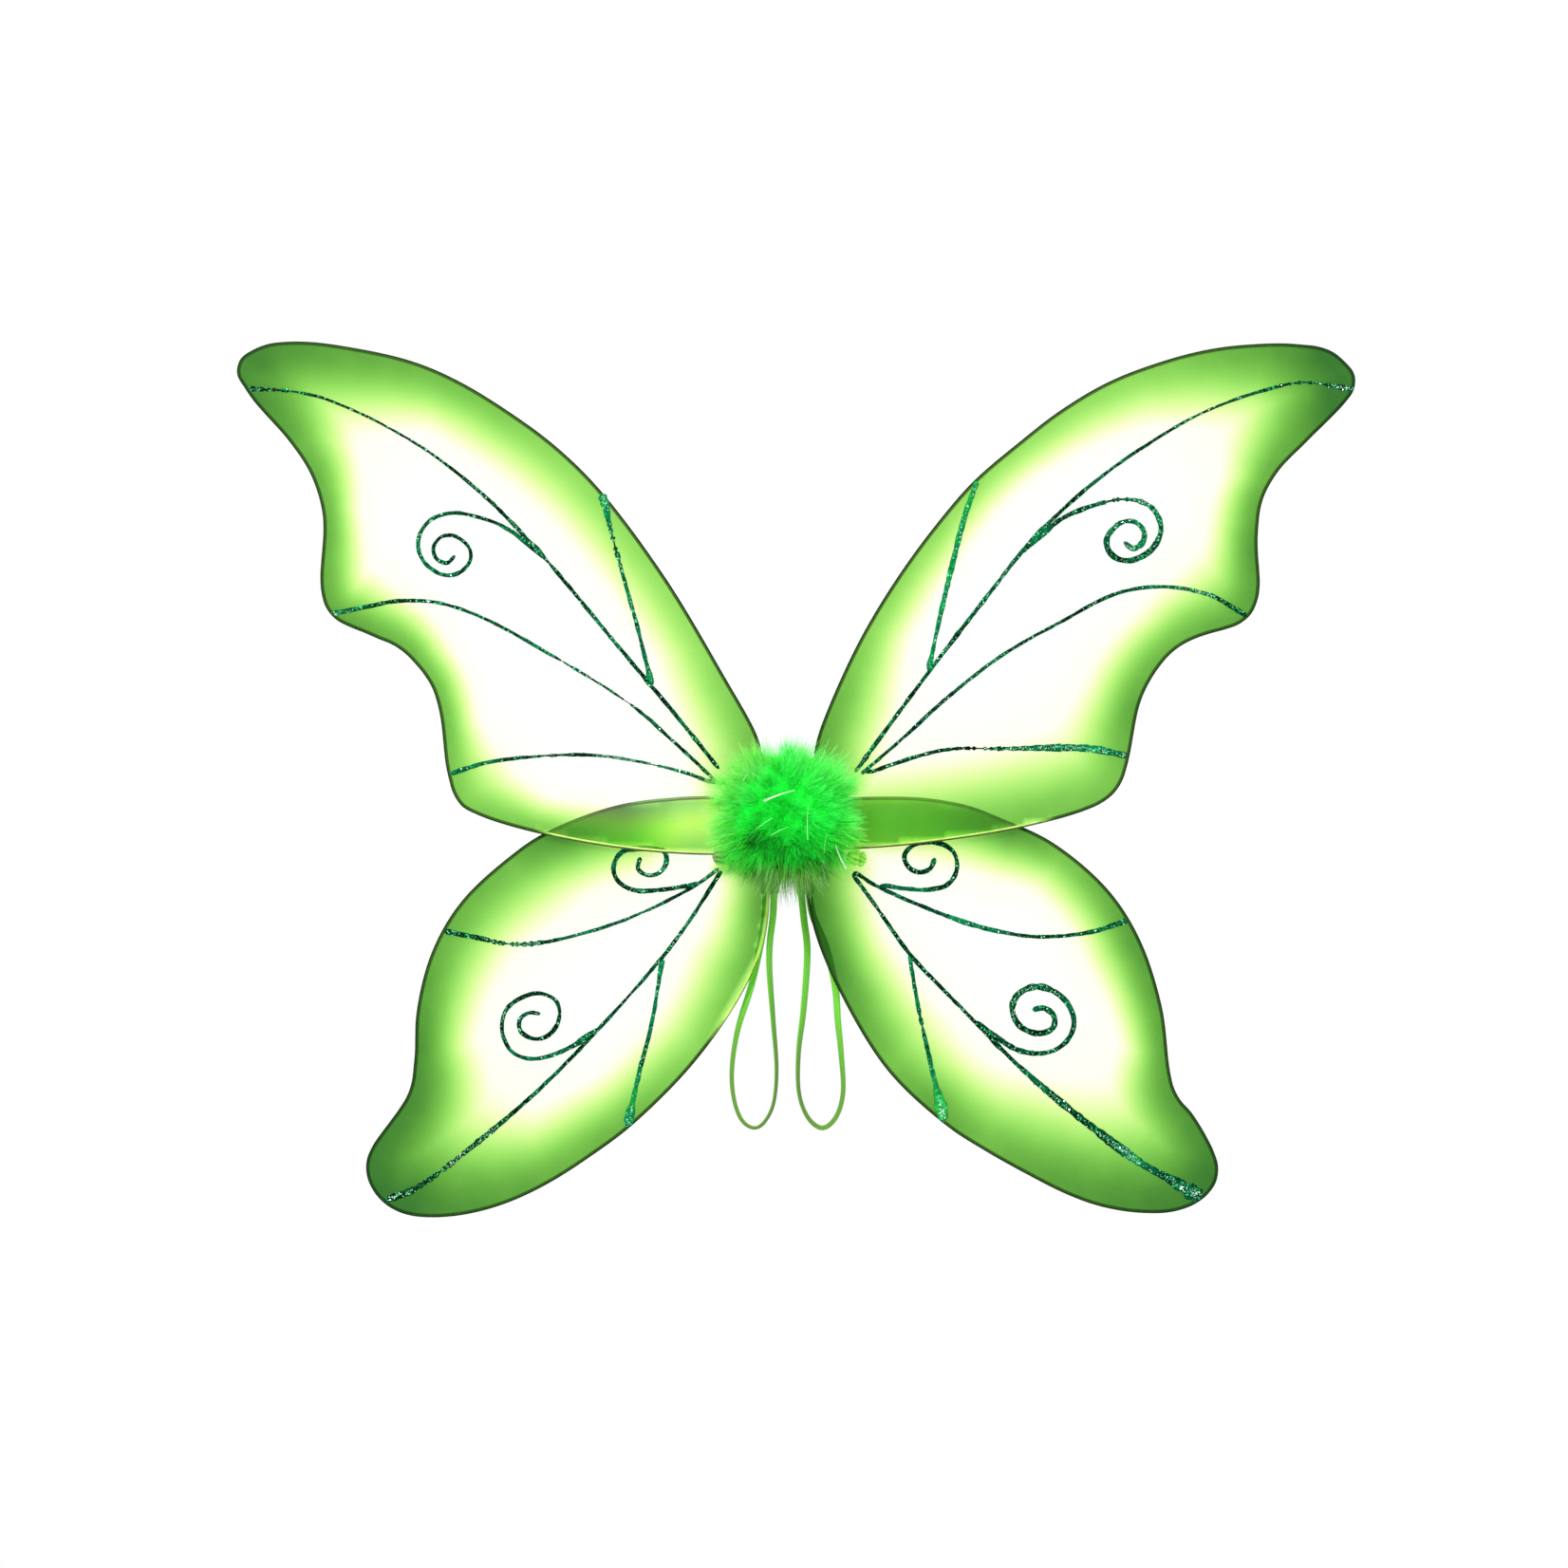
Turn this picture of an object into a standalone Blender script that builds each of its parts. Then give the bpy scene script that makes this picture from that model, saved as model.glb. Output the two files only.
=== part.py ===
"""Butterfly-style fairy wings: four nylon-covered wire wings on a taped hub, with a feather pouf.

The wings stand upright as they are worn. +X points to the right of someone who looks at the
wearer's back, -Y points away from the wearer, and +Z is up. The origin is the centre of the back
pad's flat rear face. Each wing bends on a vertical axis beside the hub.
"""

import math

import bmesh
import bpy
from mathutils import Matrix, Vector

MM = 0.001

# Driving dimensions, in millimetres.
WIRE_RADIUS = 1.0
NYLON_THICKNESS = 0.8
VEIN_RADIUS = 0.8
TOUCH_GAP = 0.3
UPPER_PLANE_Y = -13.5
LOWER_PLANE_Y = -9.5
HINGE_X = 14.0
HINGE_Y = -11.5
BARE_LEG_POINTS = 2
WIRE_STEP = 9.0
VEIN_STEP = 7.0
PATH_SAMPLES = 40

PAD_WIDTH = 52.0
PAD_HEIGHT = 72.0
PAD_DEPTH = 6.0
PAD_CORNER = 14.0
PLATE_WIDTH = 44.0
PLATE_HEIGHT = 60.0
PLATE_FRONT_Y = -8.2
PLATE_CORNER = 6.0
BINDING_WIDTH = 24.0
BINDING_HEIGHT = 60.0
BINDING_FRONT_Y = -16.2
CORE_RADIUS = 14.0
CORE_DEPTH = 2.5
POUF_CENTRE = (0.0, -44.0, 0.0)
POUF_RADII = (36.0, 26.0, 38.0)
KNOT_RADII = (5.0, 1.8, 4.0)
STRAP_RADIUS = 2.0
STRAP_STEP = 9.0
TAB_WIDTH = 11.0
TAB_DEPTH = 4.6
TAB_HEIGHT = 9.0
STRAP_Y = -3.3

# Each wing's wire, from its first leg at the hub round to its second leg, as (x, z) points.
WIRES = {
    "left_upper": [
        (-15.4, 25), (-16, 35), (-18.5, 47), (-39, 84.5), (-73.5, 142), (-112, 193.5),
        (-137.5, 218.5), (-163, 237.5), (-193, 256), (-219, 267.5), (-249, 275), (-288, 280),
        (-311, 277), (-324, 266.5), (-317.5, 251.5), (-292, 221.5), (-280, 202.5), (-273, 178),
        (-274, 134), (-268, 120), (-245, 108.5), (-229.5, 101.5), (-219, 92), (-209, 78),
        (-204, 61), (-199.5, 26.5), (-193, 9.5), (-180, 2), (-142, -9), (-88.5, -18),
        (-40, -20.5), (-25, -18.5), (-15.4, -14),
    ],
    "right_upper": [
        (15.4, 25), (16.5, 37), (19, 49), (42, 102), (70, 148), (101, 188), (114, 201.5),
        (136, 220), (160.5, 239), (189, 256), (220, 268), (249, 275.5), (276, 278.5),
        (300, 278.5), (320, 274.5), (334, 259), (331, 250), (304, 221.5), (289, 206),
        (279, 188), (276, 165), (276.5, 131), (269, 117.5), (240, 107), (227, 99.5),
        (215.5, 86), (207, 69), (200, 35), (196, 22), (189, 13), (176, 6), (136, -5),
        (83, -13.5), (43, -17), (27, -17), (15.4, -14),
    ],
    "left_lower": [
        (-14.8, -26), (-12.4, -34), (-11.5, -44), (-13, -59), (-17, -79), (-31, -108.5),
        (-58, -146), (-92.5, -180.5), (-115, -197.5), (-140.5, -214), (-163, -225),
        (-183.5, -231.5), (-204, -234.5), (-223, -233.5), (-235, -228.5), (-243.5, -220),
        (-248, -208), (-246, -197.5), (-223, -162.5), (-219.5, -143), (-218, -113.5),
        (-209, -79), (-192, -50), (-163, -23), (-142, -9), (-101, 6.5), (-63.5, 11.5),
        (-46, 12), (-29, 11), (-15.4, 8),
    ],
    "right_lower": [
        (14.8, -26), (12.8, -32), (12, -40), (16.5, -65.5), (30.5, -100), (59.5, -148),
        (94, -180.5), (114.5, -194), (142, -209.5), (166, -221.5), (186, -228.5),
        (208.5, -232), (229, -231), (244.5, -224), (252.5, -213), (252.5, -202.5),
        (239.5, -177), (229, -164), (225, -151), (220, -112), (207, -72), (188, -42.5),
        (155.5, -15), (124.5, -0.5), (106, 6.5), (80, 11), (44, 11.5), (28, 10.5), (15.4, 8),
    ],
}

# The glitter veins on each wing's outer face, each as (x, z) points.
VEINS = {
    "left_upper": {
        "main_vein": [
            (-313, 253), (-292, 251.5), (-270.5, 246.5), (-221, 222), (-180.5, 191.5),
            (-144, 154), (-105.5, 108), (-62.5, 56.5), (-42, 31),
        ],
        "curl": [
            (-158, 165.5), (-166, 171), (-176, 175.5), (-197.5, 180), (-211.5, 175),
            (-218, 162.5), (-213.5, 150), (-200, 143), (-188.5, 149), (-187, 157.5),
            (-193, 164.5), (-201.5, 167), (-208.5, 161), (-207, 153), (-200.5, 150.5),
            (-196, 155),
        ],
        "brace": [(-107.5, 185), (-105, 172.5), (-98, 146.5), (-89, 114), (-81.5, 84.5)],
        "middle_vein": [
            (-266, 121), (-249, 124.5), (-229.5, 128), (-206, 127), (-180.5, 118.5),
            (-146, 100), (-92.5, 67), (-66.5, 44.5), (-41, 20.5),
        ],
        "lower_vein": [(-195, 27.5), (-180.5, 32), (-159, 35.5), (-112, 37), (-62.5, 27.5), (-47, 22)],
    },
    "right_upper": {
        "main_vein": [
            (326, 254), (304.5, 257), (280, 252), (244.5, 239), (215.5, 222.5), (182.5, 199.5),
            (145, 165), (118, 131.5), (83, 86), (41, 29),
        ],
        "curl": [
            (150.5, 167), (160.5, 176), (182.5, 185), (200.5, 188), (214, 183.5), (220, 171.5),
            (215.5, 159.5), (202.5, 152), (191, 155), (188, 164), (194, 172.5), (202.5, 175.5),
            (209.5, 170), (209.5, 163), (202.5, 159), (198, 163),
        ],
        "brace": [(109, 191.5), (104, 177), (94, 137), (87.5, 108.5), (84.5, 94)],
        "middle_vein": [
            (267.5, 121), (249, 131.5), (220, 136.5), (194, 132.5), (160.5, 115.5),
            (127, 96.5), (94, 71), (67, 46.5), (45, 27.5),
        ],
        "lower_vein": [(197, 37.5), (178, 41), (127, 41), (94, 40.5), (71.5, 35), (51, 28)],
    },
    "left_lower": {
        "main_vein": [
            (-236, -225), (-219.5, -218.5), (-181.5, -190), (-144, -157.5), (-108, -120.5),
            (-74, -82), (-58, -60.5), (-40.5, -33),
        ],
        "curl": [
            (-123.5, -132.5), (-134, -138), (-149, -142), (-161.5, -139), (-168.5, -127),
            (-166.5, -113.5), (-156, -105.5), (-145.5, -103.5), (-136, -109), (-135, -118.5),
            (-140.5, -127.5), (-149, -130.5), (-157.5, -126), (-158.5, -119.5), (-153, -115),
            (-146, -115.5),
        ],
        "brace": [(-74.5, -86), (-80.5, -122), (-87.5, -149.5), (-93.5, -176.5)],
        "side_vein": [
            (-198.5, -67.5), (-183.5, -70.5), (-166.5, -74), (-145.5, -73.5), (-97.5, -60.5),
            (-55, -40), (-42.5, -31),
        ],
        "small_curl": [
            (-60, -40), (-72, -42), (-90.5, -42.5), (-99.5, -38), (-103, -29.5), (-98, -19),
            (-88, -12.5), (-78, -14), (-72, -21), (-72, -27.5), (-76.5, -32.5), (-83.5, -33.5),
            (-88.5, -29.5), (-87, -23),
        ],
    },
    "right_lower": {
        "main_vein": [
            (242, -223), (229, -215), (209, -204), (183, -185), (140, -149.5), (101, -110.5),
            (71.5, -79.5), (54.5, -55.5), (39, -34),
        ],
        "curl": [
            (126.5, -131.5), (133, -135.5), (140, -138), (152.5, -138.5), (164, -132.5),
            (169, -122), (166, -110.5), (157.5, -102.5), (146.5, -99.5), (136.5, -103.5),
            (132.5, -112), (136.5, -122), (146.5, -127), (155.5, -125), (158, -118.5),
            (152.5, -112.5), (144.5, -113),
        ],
        "brace": [(72.5, -85), (76.5, -108.5), (82, -134.5), (91, -173)],
        "side_vein": [
            (198.5, -61), (180, -67), (149, -70), (123, -66.5), (97.5, -59), (52.5, -40),
            (40.5, -32.5),
        ],
        "small_curl": [
            (58.5, -40), (68.5, -41.5), (85, -42), (96, -38), (100, -28), (97.5, -19.5),
            (87, -14), (76, -15), (69, -21.5), (71.5, -29), (78.5, -32), (85.5, -28.5),
            (87, -23.5),
        ],
    },
}

# The hanging loop of each elastic strap, from one end at its tab round to the other.
STRAPS = {
    "left": [
        (-8.2, -46), (-8.7, -58), (-10.6, -74), (-10.8, -90), (-8.6, -120), (-6.6, -148),
        (-8.2, -168), (-13.4, -179.5), (-20, -183.5), (-27.4, -178.5), (-32, -165.5),
        (-33, -148), (-29.5, -125), (-21.5, -99), (-15.6, -72), (-13.2, -56), (-12.8, -46),
    ],
    "right": [
        (8.2, -46), (9.6, -60), (11.6, -80), (9.4, -113), (6.4, -139), (6.6, -162),
        (11.8, -177), (20.4, -183.5), (28.6, -177), (32.8, -162), (31.6, -139),
        (29.7, -120), (28, -99), (22.5, -76), (15, -58), (12.8, -46),
    ],
}

KNOTS = {"left_upper": (-38.5, -22), "right_upper": (40.5, -23.5)}

GREEN_NYLON = (0.55, 0.85, 0.32)
PALE_NYLON = (0.62, 0.88, 0.40)
DARK_WIRE = (0.03, 0.09, 0.04)
GLITTER = (0.02, 0.30, 0.18)
FEATHER = (0.08, 0.85, 0.16)
ELASTIC = (0.42, 0.68, 0.12)
TAPE = (0.10, 0.32, 0.10)
FELT = (0.16, 0.45, 0.14)
CARD = (0.30, 0.30, 0.26)


def clear_scene():
    for item in list(bpy.data.objects):
        bpy.data.objects.remove(item, do_unlink=True)


def make_material(name, colour, roughness, metallic=0.0):
    material = bpy.data.materials.new(name)
    material.use_nodes = True
    shader = material.node_tree.nodes["Principled BSDF"]
    shader.inputs["Base Color"].default_value = (*colour, 1.0)
    shader.inputs["Roughness"].default_value = roughness
    shader.inputs["Metallic"].default_value = metallic
    return material


def knot_value(start, end, value):
    return value + math.sqrt((end - start).length)


def smooth_path(points):
    """A dense centripetal Catmull-Rom curve through the points."""
    inner = [Vector(point) for point in points]
    first = inner[0] * 2 - inner[1]
    last = inner[-1] * 2 - inner[-2]
    chain = [first, *inner, last]
    path = []
    for a, b, c, d in zip(chain, chain[1:], chain[2:], chain[3:]):
        t0 = 0.0
        t1 = knot_value(a, b, t0)
        t2 = knot_value(b, c, t1)
        t3 = knot_value(c, d, t2)
        for sample in range(PATH_SAMPLES):
            t = t1 + (t2 - t1) * sample / PATH_SAMPLES
            ab = a.lerp(b, (t - t0) / (t1 - t0))
            bc = b.lerp(c, (t - t1) / (t2 - t1))
            cd = c.lerp(d, (t - t2) / (t3 - t2))
            abc = ab.lerp(bc, (t - t0) / (t2 - t0))
            bcd = bc.lerp(cd, (t - t1) / (t3 - t1))
            path.append(abc.lerp(bcd, (t - t1) / (t2 - t1)))
    path.append(inner[-1])
    return path


def even_points(path, step):
    """Points at an even spacing along a dense path."""
    lengths = [0.0]
    for start, end in zip(path, path[1:]):
        lengths.append(lengths[-1] + (end - start).length)
    count = max(2, round(lengths[-1] / step))
    points = []
    index = 0
    for number in range(count + 1):
        target = lengths[-1] * number / count
        while index < len(path) - 2 and lengths[index + 1] < target:
            index += 1
        span = lengths[index + 1] - lengths[index]
        points.append(path[index].lerp(path[index + 1], (target - lengths[index]) / span))
    return points


def flat_to_world(point, y):
    """An (x, z) point in millimetres, at a depth y, becomes a world position in metres."""
    return Vector((point[0], y, point[1])) * MM


def inset(points, distance):
    """Move an open outline towards the side that it encloses, by the same distance all along."""
    area = 0.0
    for start, end in zip(points, points[1:] + points[:1]):
        area += start.x * end.y - end.x * start.y
    side = 1.0 if area > 0 else -1.0
    moved = []
    for index, point in enumerate(points):
        before = points[max(index - 1, 0)]
        after = points[min(index + 1, len(points) - 1)]
        along = (after - before).normalized()
        edge = (after - point if index == 0 else point - before).normalized()
        mitre = distance / along.dot(edge)
        moved.append(point + Vector((-along.y, along.x)) * side * mitre)
    return moved


def add_object(name, data, material, collection, hinge=None):
    piece = bpy.data.objects.new(name, data)
    data.materials.append(material)
    collection.objects.link(piece)
    if hinge:
        piece.parent = hinge
        piece.matrix_parent_inverse = hinge.matrix_world.inverted()
    return piece


def make_tube(name, points, radius, sides_level, material, collection, hinge=None):
    curve = bpy.data.curves.new(name, "CURVE")
    curve.dimensions = "3D"
    curve.bevel_depth = radius * MM
    curve.bevel_resolution = sides_level
    curve.use_fill_caps = True
    spline = curve.splines.new("POLY")
    spline.points.add(len(points) - 1)
    for spline_point, position in zip(spline.points, points):
        spline_point.co = (*position, 1.0)
    return add_object(name, curve, material, collection, hinge)


def make_plate(name, outline, y, thickness, material, collection, hinge=None):
    """A flat sheet that stands in the XZ plane, centred on the given depth."""
    curve = bpy.data.curves.new(name, "CURVE")
    curve.dimensions = "2D"
    curve.fill_mode = "BOTH"
    curve.extrude = thickness * MM / 2
    spline = curve.splines.new("POLY")
    spline.use_cyclic_u = True
    spline.points.add(len(outline) - 1)
    for spline_point, point in zip(spline.points, outline):
        spline_point.co = (point[0] * MM, point[1] * MM, 0.0, 1.0)
    plate = add_object(name, curve, material, collection)
    plate.matrix_world = Matrix.Translation((0, y * MM, 0)) @ Matrix.Rotation(math.pi / 2, 4, "X")
    if hinge:
        plate.parent = hinge
        plate.matrix_parent_inverse = hinge.matrix_world.inverted()
    return plate


def rounded_rectangle(width, height, corner, corner_steps=6):
    points = []
    for quarter in range(4):
        turn = quarter * math.pi / 2
        centre_x = (width / 2 - corner) * (1 if quarter in (0, 3) else -1)
        centre_z = (height / 2 - corner) * (1 if quarter in (0, 1) else -1)
        for step in range(corner_steps + 1):
            angle = turn + math.pi / 2 * step / corner_steps
            points.append((centre_x + corner * math.cos(angle), centre_z + corner * math.sin(angle)))
    return points


def make_box(name, centre, size, rounding, material, collection):
    mesh = bpy.data.meshes.new(name)
    model = bmesh.new()
    bmesh.ops.create_cube(model, size=1.0)
    bmesh.ops.scale(model, vec=Vector(size) * MM, verts=model.verts)
    model.to_mesh(mesh)
    model.free()
    box = add_object(name, mesh, material, collection)
    box.location = Vector(centre) * MM
    bevel = box.modifiers.new("rounding", "BEVEL")
    bevel.width = rounding * MM
    bevel.segments = 3
    return box


def make_ellipsoid(name, centre, radii, material, collection, rear_y=None, segments=16, hinge=None):
    """A rounded solid, with its rear pressed flat at rear_y where one is given."""
    mesh = bpy.data.meshes.new(name)
    model = bmesh.new()
    bmesh.ops.create_uvsphere(model, u_segments=segments, v_segments=segments // 2, radius=1.0)
    for vertex in model.verts:
        vertex.co = Vector([value * radius * MM for value, radius in zip(vertex.co, radii)])
        if rear_y is not None:
            vertex.co.y = min(vertex.co.y, (rear_y - centre[1]) * MM)
    model.to_mesh(mesh)
    model.free()
    mesh.shade_smooth()
    piece = add_object(name, mesh, material, collection)
    piece.location = Vector(centre) * MM
    if hinge:
        bpy.context.view_layer.update()
        piece.parent = hinge
        piece.matrix_parent_inverse = hinge.matrix_world.inverted()
    return piece


def make_hinge(name, side, collection):
    """The vertical axis that a wing bends on, beside the hub."""
    hinge = bpy.data.objects.new(name, None)
    hinge.empty_display_size = 20 * MM
    hinge.location = Vector((side * HINGE_X, HINGE_Y, 0)) * MM
    collection.objects.link(hinge)
    bpy.context.view_layer.update()
    return hinge


def make_wing(wing, materials, collection):
    side = -1 if wing.startswith("left") else 1
    upper = wing.endswith("upper")
    plane_y = UPPER_PLANE_Y if upper else LOWER_PLANE_Y
    hinge = make_hinge(f"{wing}_hinge", side, collection)

    wire_line = even_points(smooth_path(WIRES[wing]), WIRE_STEP)
    wire_route = [flat_to_world(point, plane_y) for point in wire_line]
    make_tube(f"{wing}_wire", wire_route, WIRE_RADIUS, 1, materials["wire"], collection, hinge)

    outline = inset(wire_line[BARE_LEG_POINTS:-BARE_LEG_POINTS], WIRE_RADIUS + TOUCH_GAP)
    nylon = materials["upper_nylon"] if upper else materials["lower_nylon"]
    make_plate(f"{wing}_nylon", outline, plane_y, NYLON_THICKNESS, nylon, collection, hinge)

    vein_y = plane_y - NYLON_THICKNESS / 2 - TOUCH_GAP - VEIN_RADIUS
    for vein, points in VEINS[wing].items():
        path = even_points(smooth_path(points), VEIN_STEP)
        route = [flat_to_world(point, vein_y) for point in path]
        make_tube(f"{wing}_{vein}", route, VEIN_RADIUS, 0, materials["glitter"], collection, hinge)

    if wing in KNOTS:
        x, z = KNOTS[wing]
        y = plane_y - WIRE_RADIUS - TOUCH_GAP - KNOT_RADII[1]
        make_ellipsoid(f"{wing}_knot", (x, y, z), KNOT_RADII, nylon, collection, hinge=hinge)


def make_hub(materials, collection):
    pad_outline = rounded_rectangle(PAD_WIDTH, PAD_HEIGHT, PAD_CORNER)
    make_plate("back_pad", pad_outline, -PAD_DEPTH / 2, PAD_DEPTH, materials["felt"], collection)

    plate_rear = -PAD_DEPTH - TOUCH_GAP
    plate_outline = rounded_rectangle(PLATE_WIDTH, PLATE_HEIGHT, PLATE_CORNER)
    plate_depth = plate_rear - PLATE_FRONT_Y
    plate_y = (plate_rear + PLATE_FRONT_Y) / 2
    make_plate("hub_plate", plate_outline, plate_y, plate_depth, materials["card"], collection)

    binding_rear = PLATE_FRONT_Y - TOUCH_GAP
    binding_depth = binding_rear - BINDING_FRONT_Y
    binding_centre = (0, (binding_rear + BINDING_FRONT_Y) / 2, 0)
    binding_size = (BINDING_WIDTH, binding_depth, BINDING_HEIGHT)
    make_box("centre_binding", binding_centre, binding_size, 1.5, materials["tape"], collection)

    core_rear = BINDING_FRONT_Y - TOUCH_GAP
    steps = [2 * math.pi * step / 32 for step in range(32)]
    core_outline = [(CORE_RADIUS * math.cos(turn), CORE_RADIUS * math.sin(turn)) for turn in steps]
    make_plate("pouf_core", core_outline, core_rear - CORE_DEPTH / 2, CORE_DEPTH,
               materials["felt"], collection)

    pouf_rear = core_rear - CORE_DEPTH - TOUCH_GAP
    make_ellipsoid("marabou_pouf", POUF_CENTRE, POUF_RADII, materials["feather"], collection,
                   rear_y=pouf_rear, segments=32)


def make_straps(materials, collection):
    pad_bottom = -PAD_HEIGHT / 2
    tab_z = pad_bottom - TOUCH_GAP - TAB_HEIGHT / 2
    for side_name, side in (("left", -1), ("right", 1)):
        ends = STRAPS[side_name]
        tab_x = (ends[0][0] + ends[-1][0]) / 2
        tab_size = (TAB_WIDTH, TAB_DEPTH, TAB_HEIGHT)
        make_box(f"{side_name}_strap_tab", (tab_x, STRAP_Y, tab_z), tab_size, 0.8,
                 materials["felt"], collection)
        path = even_points(smooth_path(ends), STRAP_STEP)
        route = [flat_to_world(point, STRAP_Y) for point in path]
        make_tube(f"{side_name}_strap", route, STRAP_RADIUS, 2, materials["elastic"], collection)


def main():
    clear_scene()
    collection = bpy.data.collections.new("fairy_wings")
    bpy.context.scene.collection.children.link(collection)
    materials = {
        "wire": make_material("dark green wire", DARK_WIRE, 0.35, 0.8),
        "upper_nylon": make_material("green nylon", GREEN_NYLON, 0.5),
        "lower_nylon": make_material("pale green nylon", PALE_NYLON, 0.5),
        "glitter": make_material("glitter glue", GLITTER, 0.3, 0.3),
        "feather": make_material("marabou", FEATHER, 0.9),
        "elastic": make_material("lime elastic", ELASTIC, 0.6),
        "tape": make_material("green tape", TAPE, 0.4),
        "felt": make_material("green felt", FELT, 0.95),
        "card": make_material("grey board", CARD, 0.8),
    }
    for wing in WIRES:
        make_wing(wing, materials, collection)
    make_hub(materials, collection)
    make_straps(materials, collection)


main()
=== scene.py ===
"""The looks of the fairy wings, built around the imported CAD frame."""
import math

import bpy
import numpy as np
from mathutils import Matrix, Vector, geometry


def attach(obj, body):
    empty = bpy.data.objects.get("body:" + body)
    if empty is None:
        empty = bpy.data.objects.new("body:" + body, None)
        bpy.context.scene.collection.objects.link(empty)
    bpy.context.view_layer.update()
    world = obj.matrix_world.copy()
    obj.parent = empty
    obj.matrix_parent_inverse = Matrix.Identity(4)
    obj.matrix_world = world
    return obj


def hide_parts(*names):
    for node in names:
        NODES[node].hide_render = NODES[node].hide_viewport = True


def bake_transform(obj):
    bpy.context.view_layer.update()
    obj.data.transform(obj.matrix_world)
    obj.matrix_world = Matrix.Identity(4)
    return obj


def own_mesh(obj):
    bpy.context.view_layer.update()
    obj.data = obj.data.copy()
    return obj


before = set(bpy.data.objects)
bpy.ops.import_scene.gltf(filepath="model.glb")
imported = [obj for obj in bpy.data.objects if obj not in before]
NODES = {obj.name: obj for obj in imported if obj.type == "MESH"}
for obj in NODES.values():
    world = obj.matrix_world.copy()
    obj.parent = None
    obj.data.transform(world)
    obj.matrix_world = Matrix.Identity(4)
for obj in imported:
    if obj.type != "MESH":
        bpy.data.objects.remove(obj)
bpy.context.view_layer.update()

MM = 0.001
SIDES = ("left", "right")
WINGS = ("left_upper", "right_upper", "left_lower", "right_lower")
VEIN_NAMES = {
    "upper": ("main_vein", "curl", "brace", "middle_vein", "lower_vein"),
    "lower": ("main_vein", "curl", "brace", "side_vein", "small_curl"),
}


# ---------------------------------------------------------------- camera, light and floor

def make_stage():
    """A level camera square on to the wings, an even white surround and a pale floor well below."""
    frame_width = 0.925
    lens = 90.0
    sensor = 36.0
    wing_depth = -0.012
    camera_data = bpy.data.cameras.new("camera")
    camera_data.lens = lens
    camera_data.sensor_width = sensor
    camera = bpy.data.objects.new("camera", camera_data)
    camera.location = (-0.0022, wing_depth - frame_width * lens / sensor, 0.0202)
    camera.rotation_euler = (math.pi / 2, 0, 0)
    bpy.context.scene.collection.objects.link(camera)
    bpy.context.scene.camera = camera

    world = bpy.data.worlds.new("studio")
    world.use_nodes = True
    world.node_tree.nodes["Background"].inputs["Color"].default_value = (1, 1, 1, 1)
    world.node_tree.nodes["Background"].inputs["Strength"].default_value = 1.0
    bpy.context.scene.world = world
    bpy.context.scene.view_settings.view_transform = "Standard"

    key = bpy.data.lights.new("key", "AREA")
    key.shape = "DISK"
    key.size = 0.6
    key.energy = 34.0
    key_object = bpy.data.objects.new("key", key)
    key_object.location = (-0.55, -1.6, 1.35)
    towards = -key_object.location
    key_object.rotation_euler = towards.to_track_quat("-Z", "Y").to_euler()
    bpy.context.scene.collection.objects.link(key_object)

    floor_mesh = bpy.data.meshes.new("floor")
    half, height = 0.8, -0.65
    corners = [(-half, -half, height), (half, -half, height), (half, half, height), (-half, half, height)]
    floor_mesh.from_pydata(corners, [], [(0, 1, 2, 3)])
    floor = bpy.data.objects.new("floor", floor_mesh)
    bpy.context.scene.collection.objects.link(floor)
    paint = Shader("pale floor")
    paint.set(roughness=0.7)
    paint.shader.inputs["Base Color"].default_value = (0.86, 0.86, 0.85, 1)
    floor_mesh.materials.append(paint.material)


# ---------------------------------------------------------------- materials

def srgb(code):
    """A colour written as six hexadecimal digits, as linear red, green, blue and 1."""
    channels = [int(code[i:i + 2], 16) / 255 for i in (0, 2, 4)]
    linear = [c / 12.92 if c <= 0.04045 else ((c + 0.055) / 1.055) ** 2.4 for c in channels]
    return (*linear, 1.0)


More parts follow.
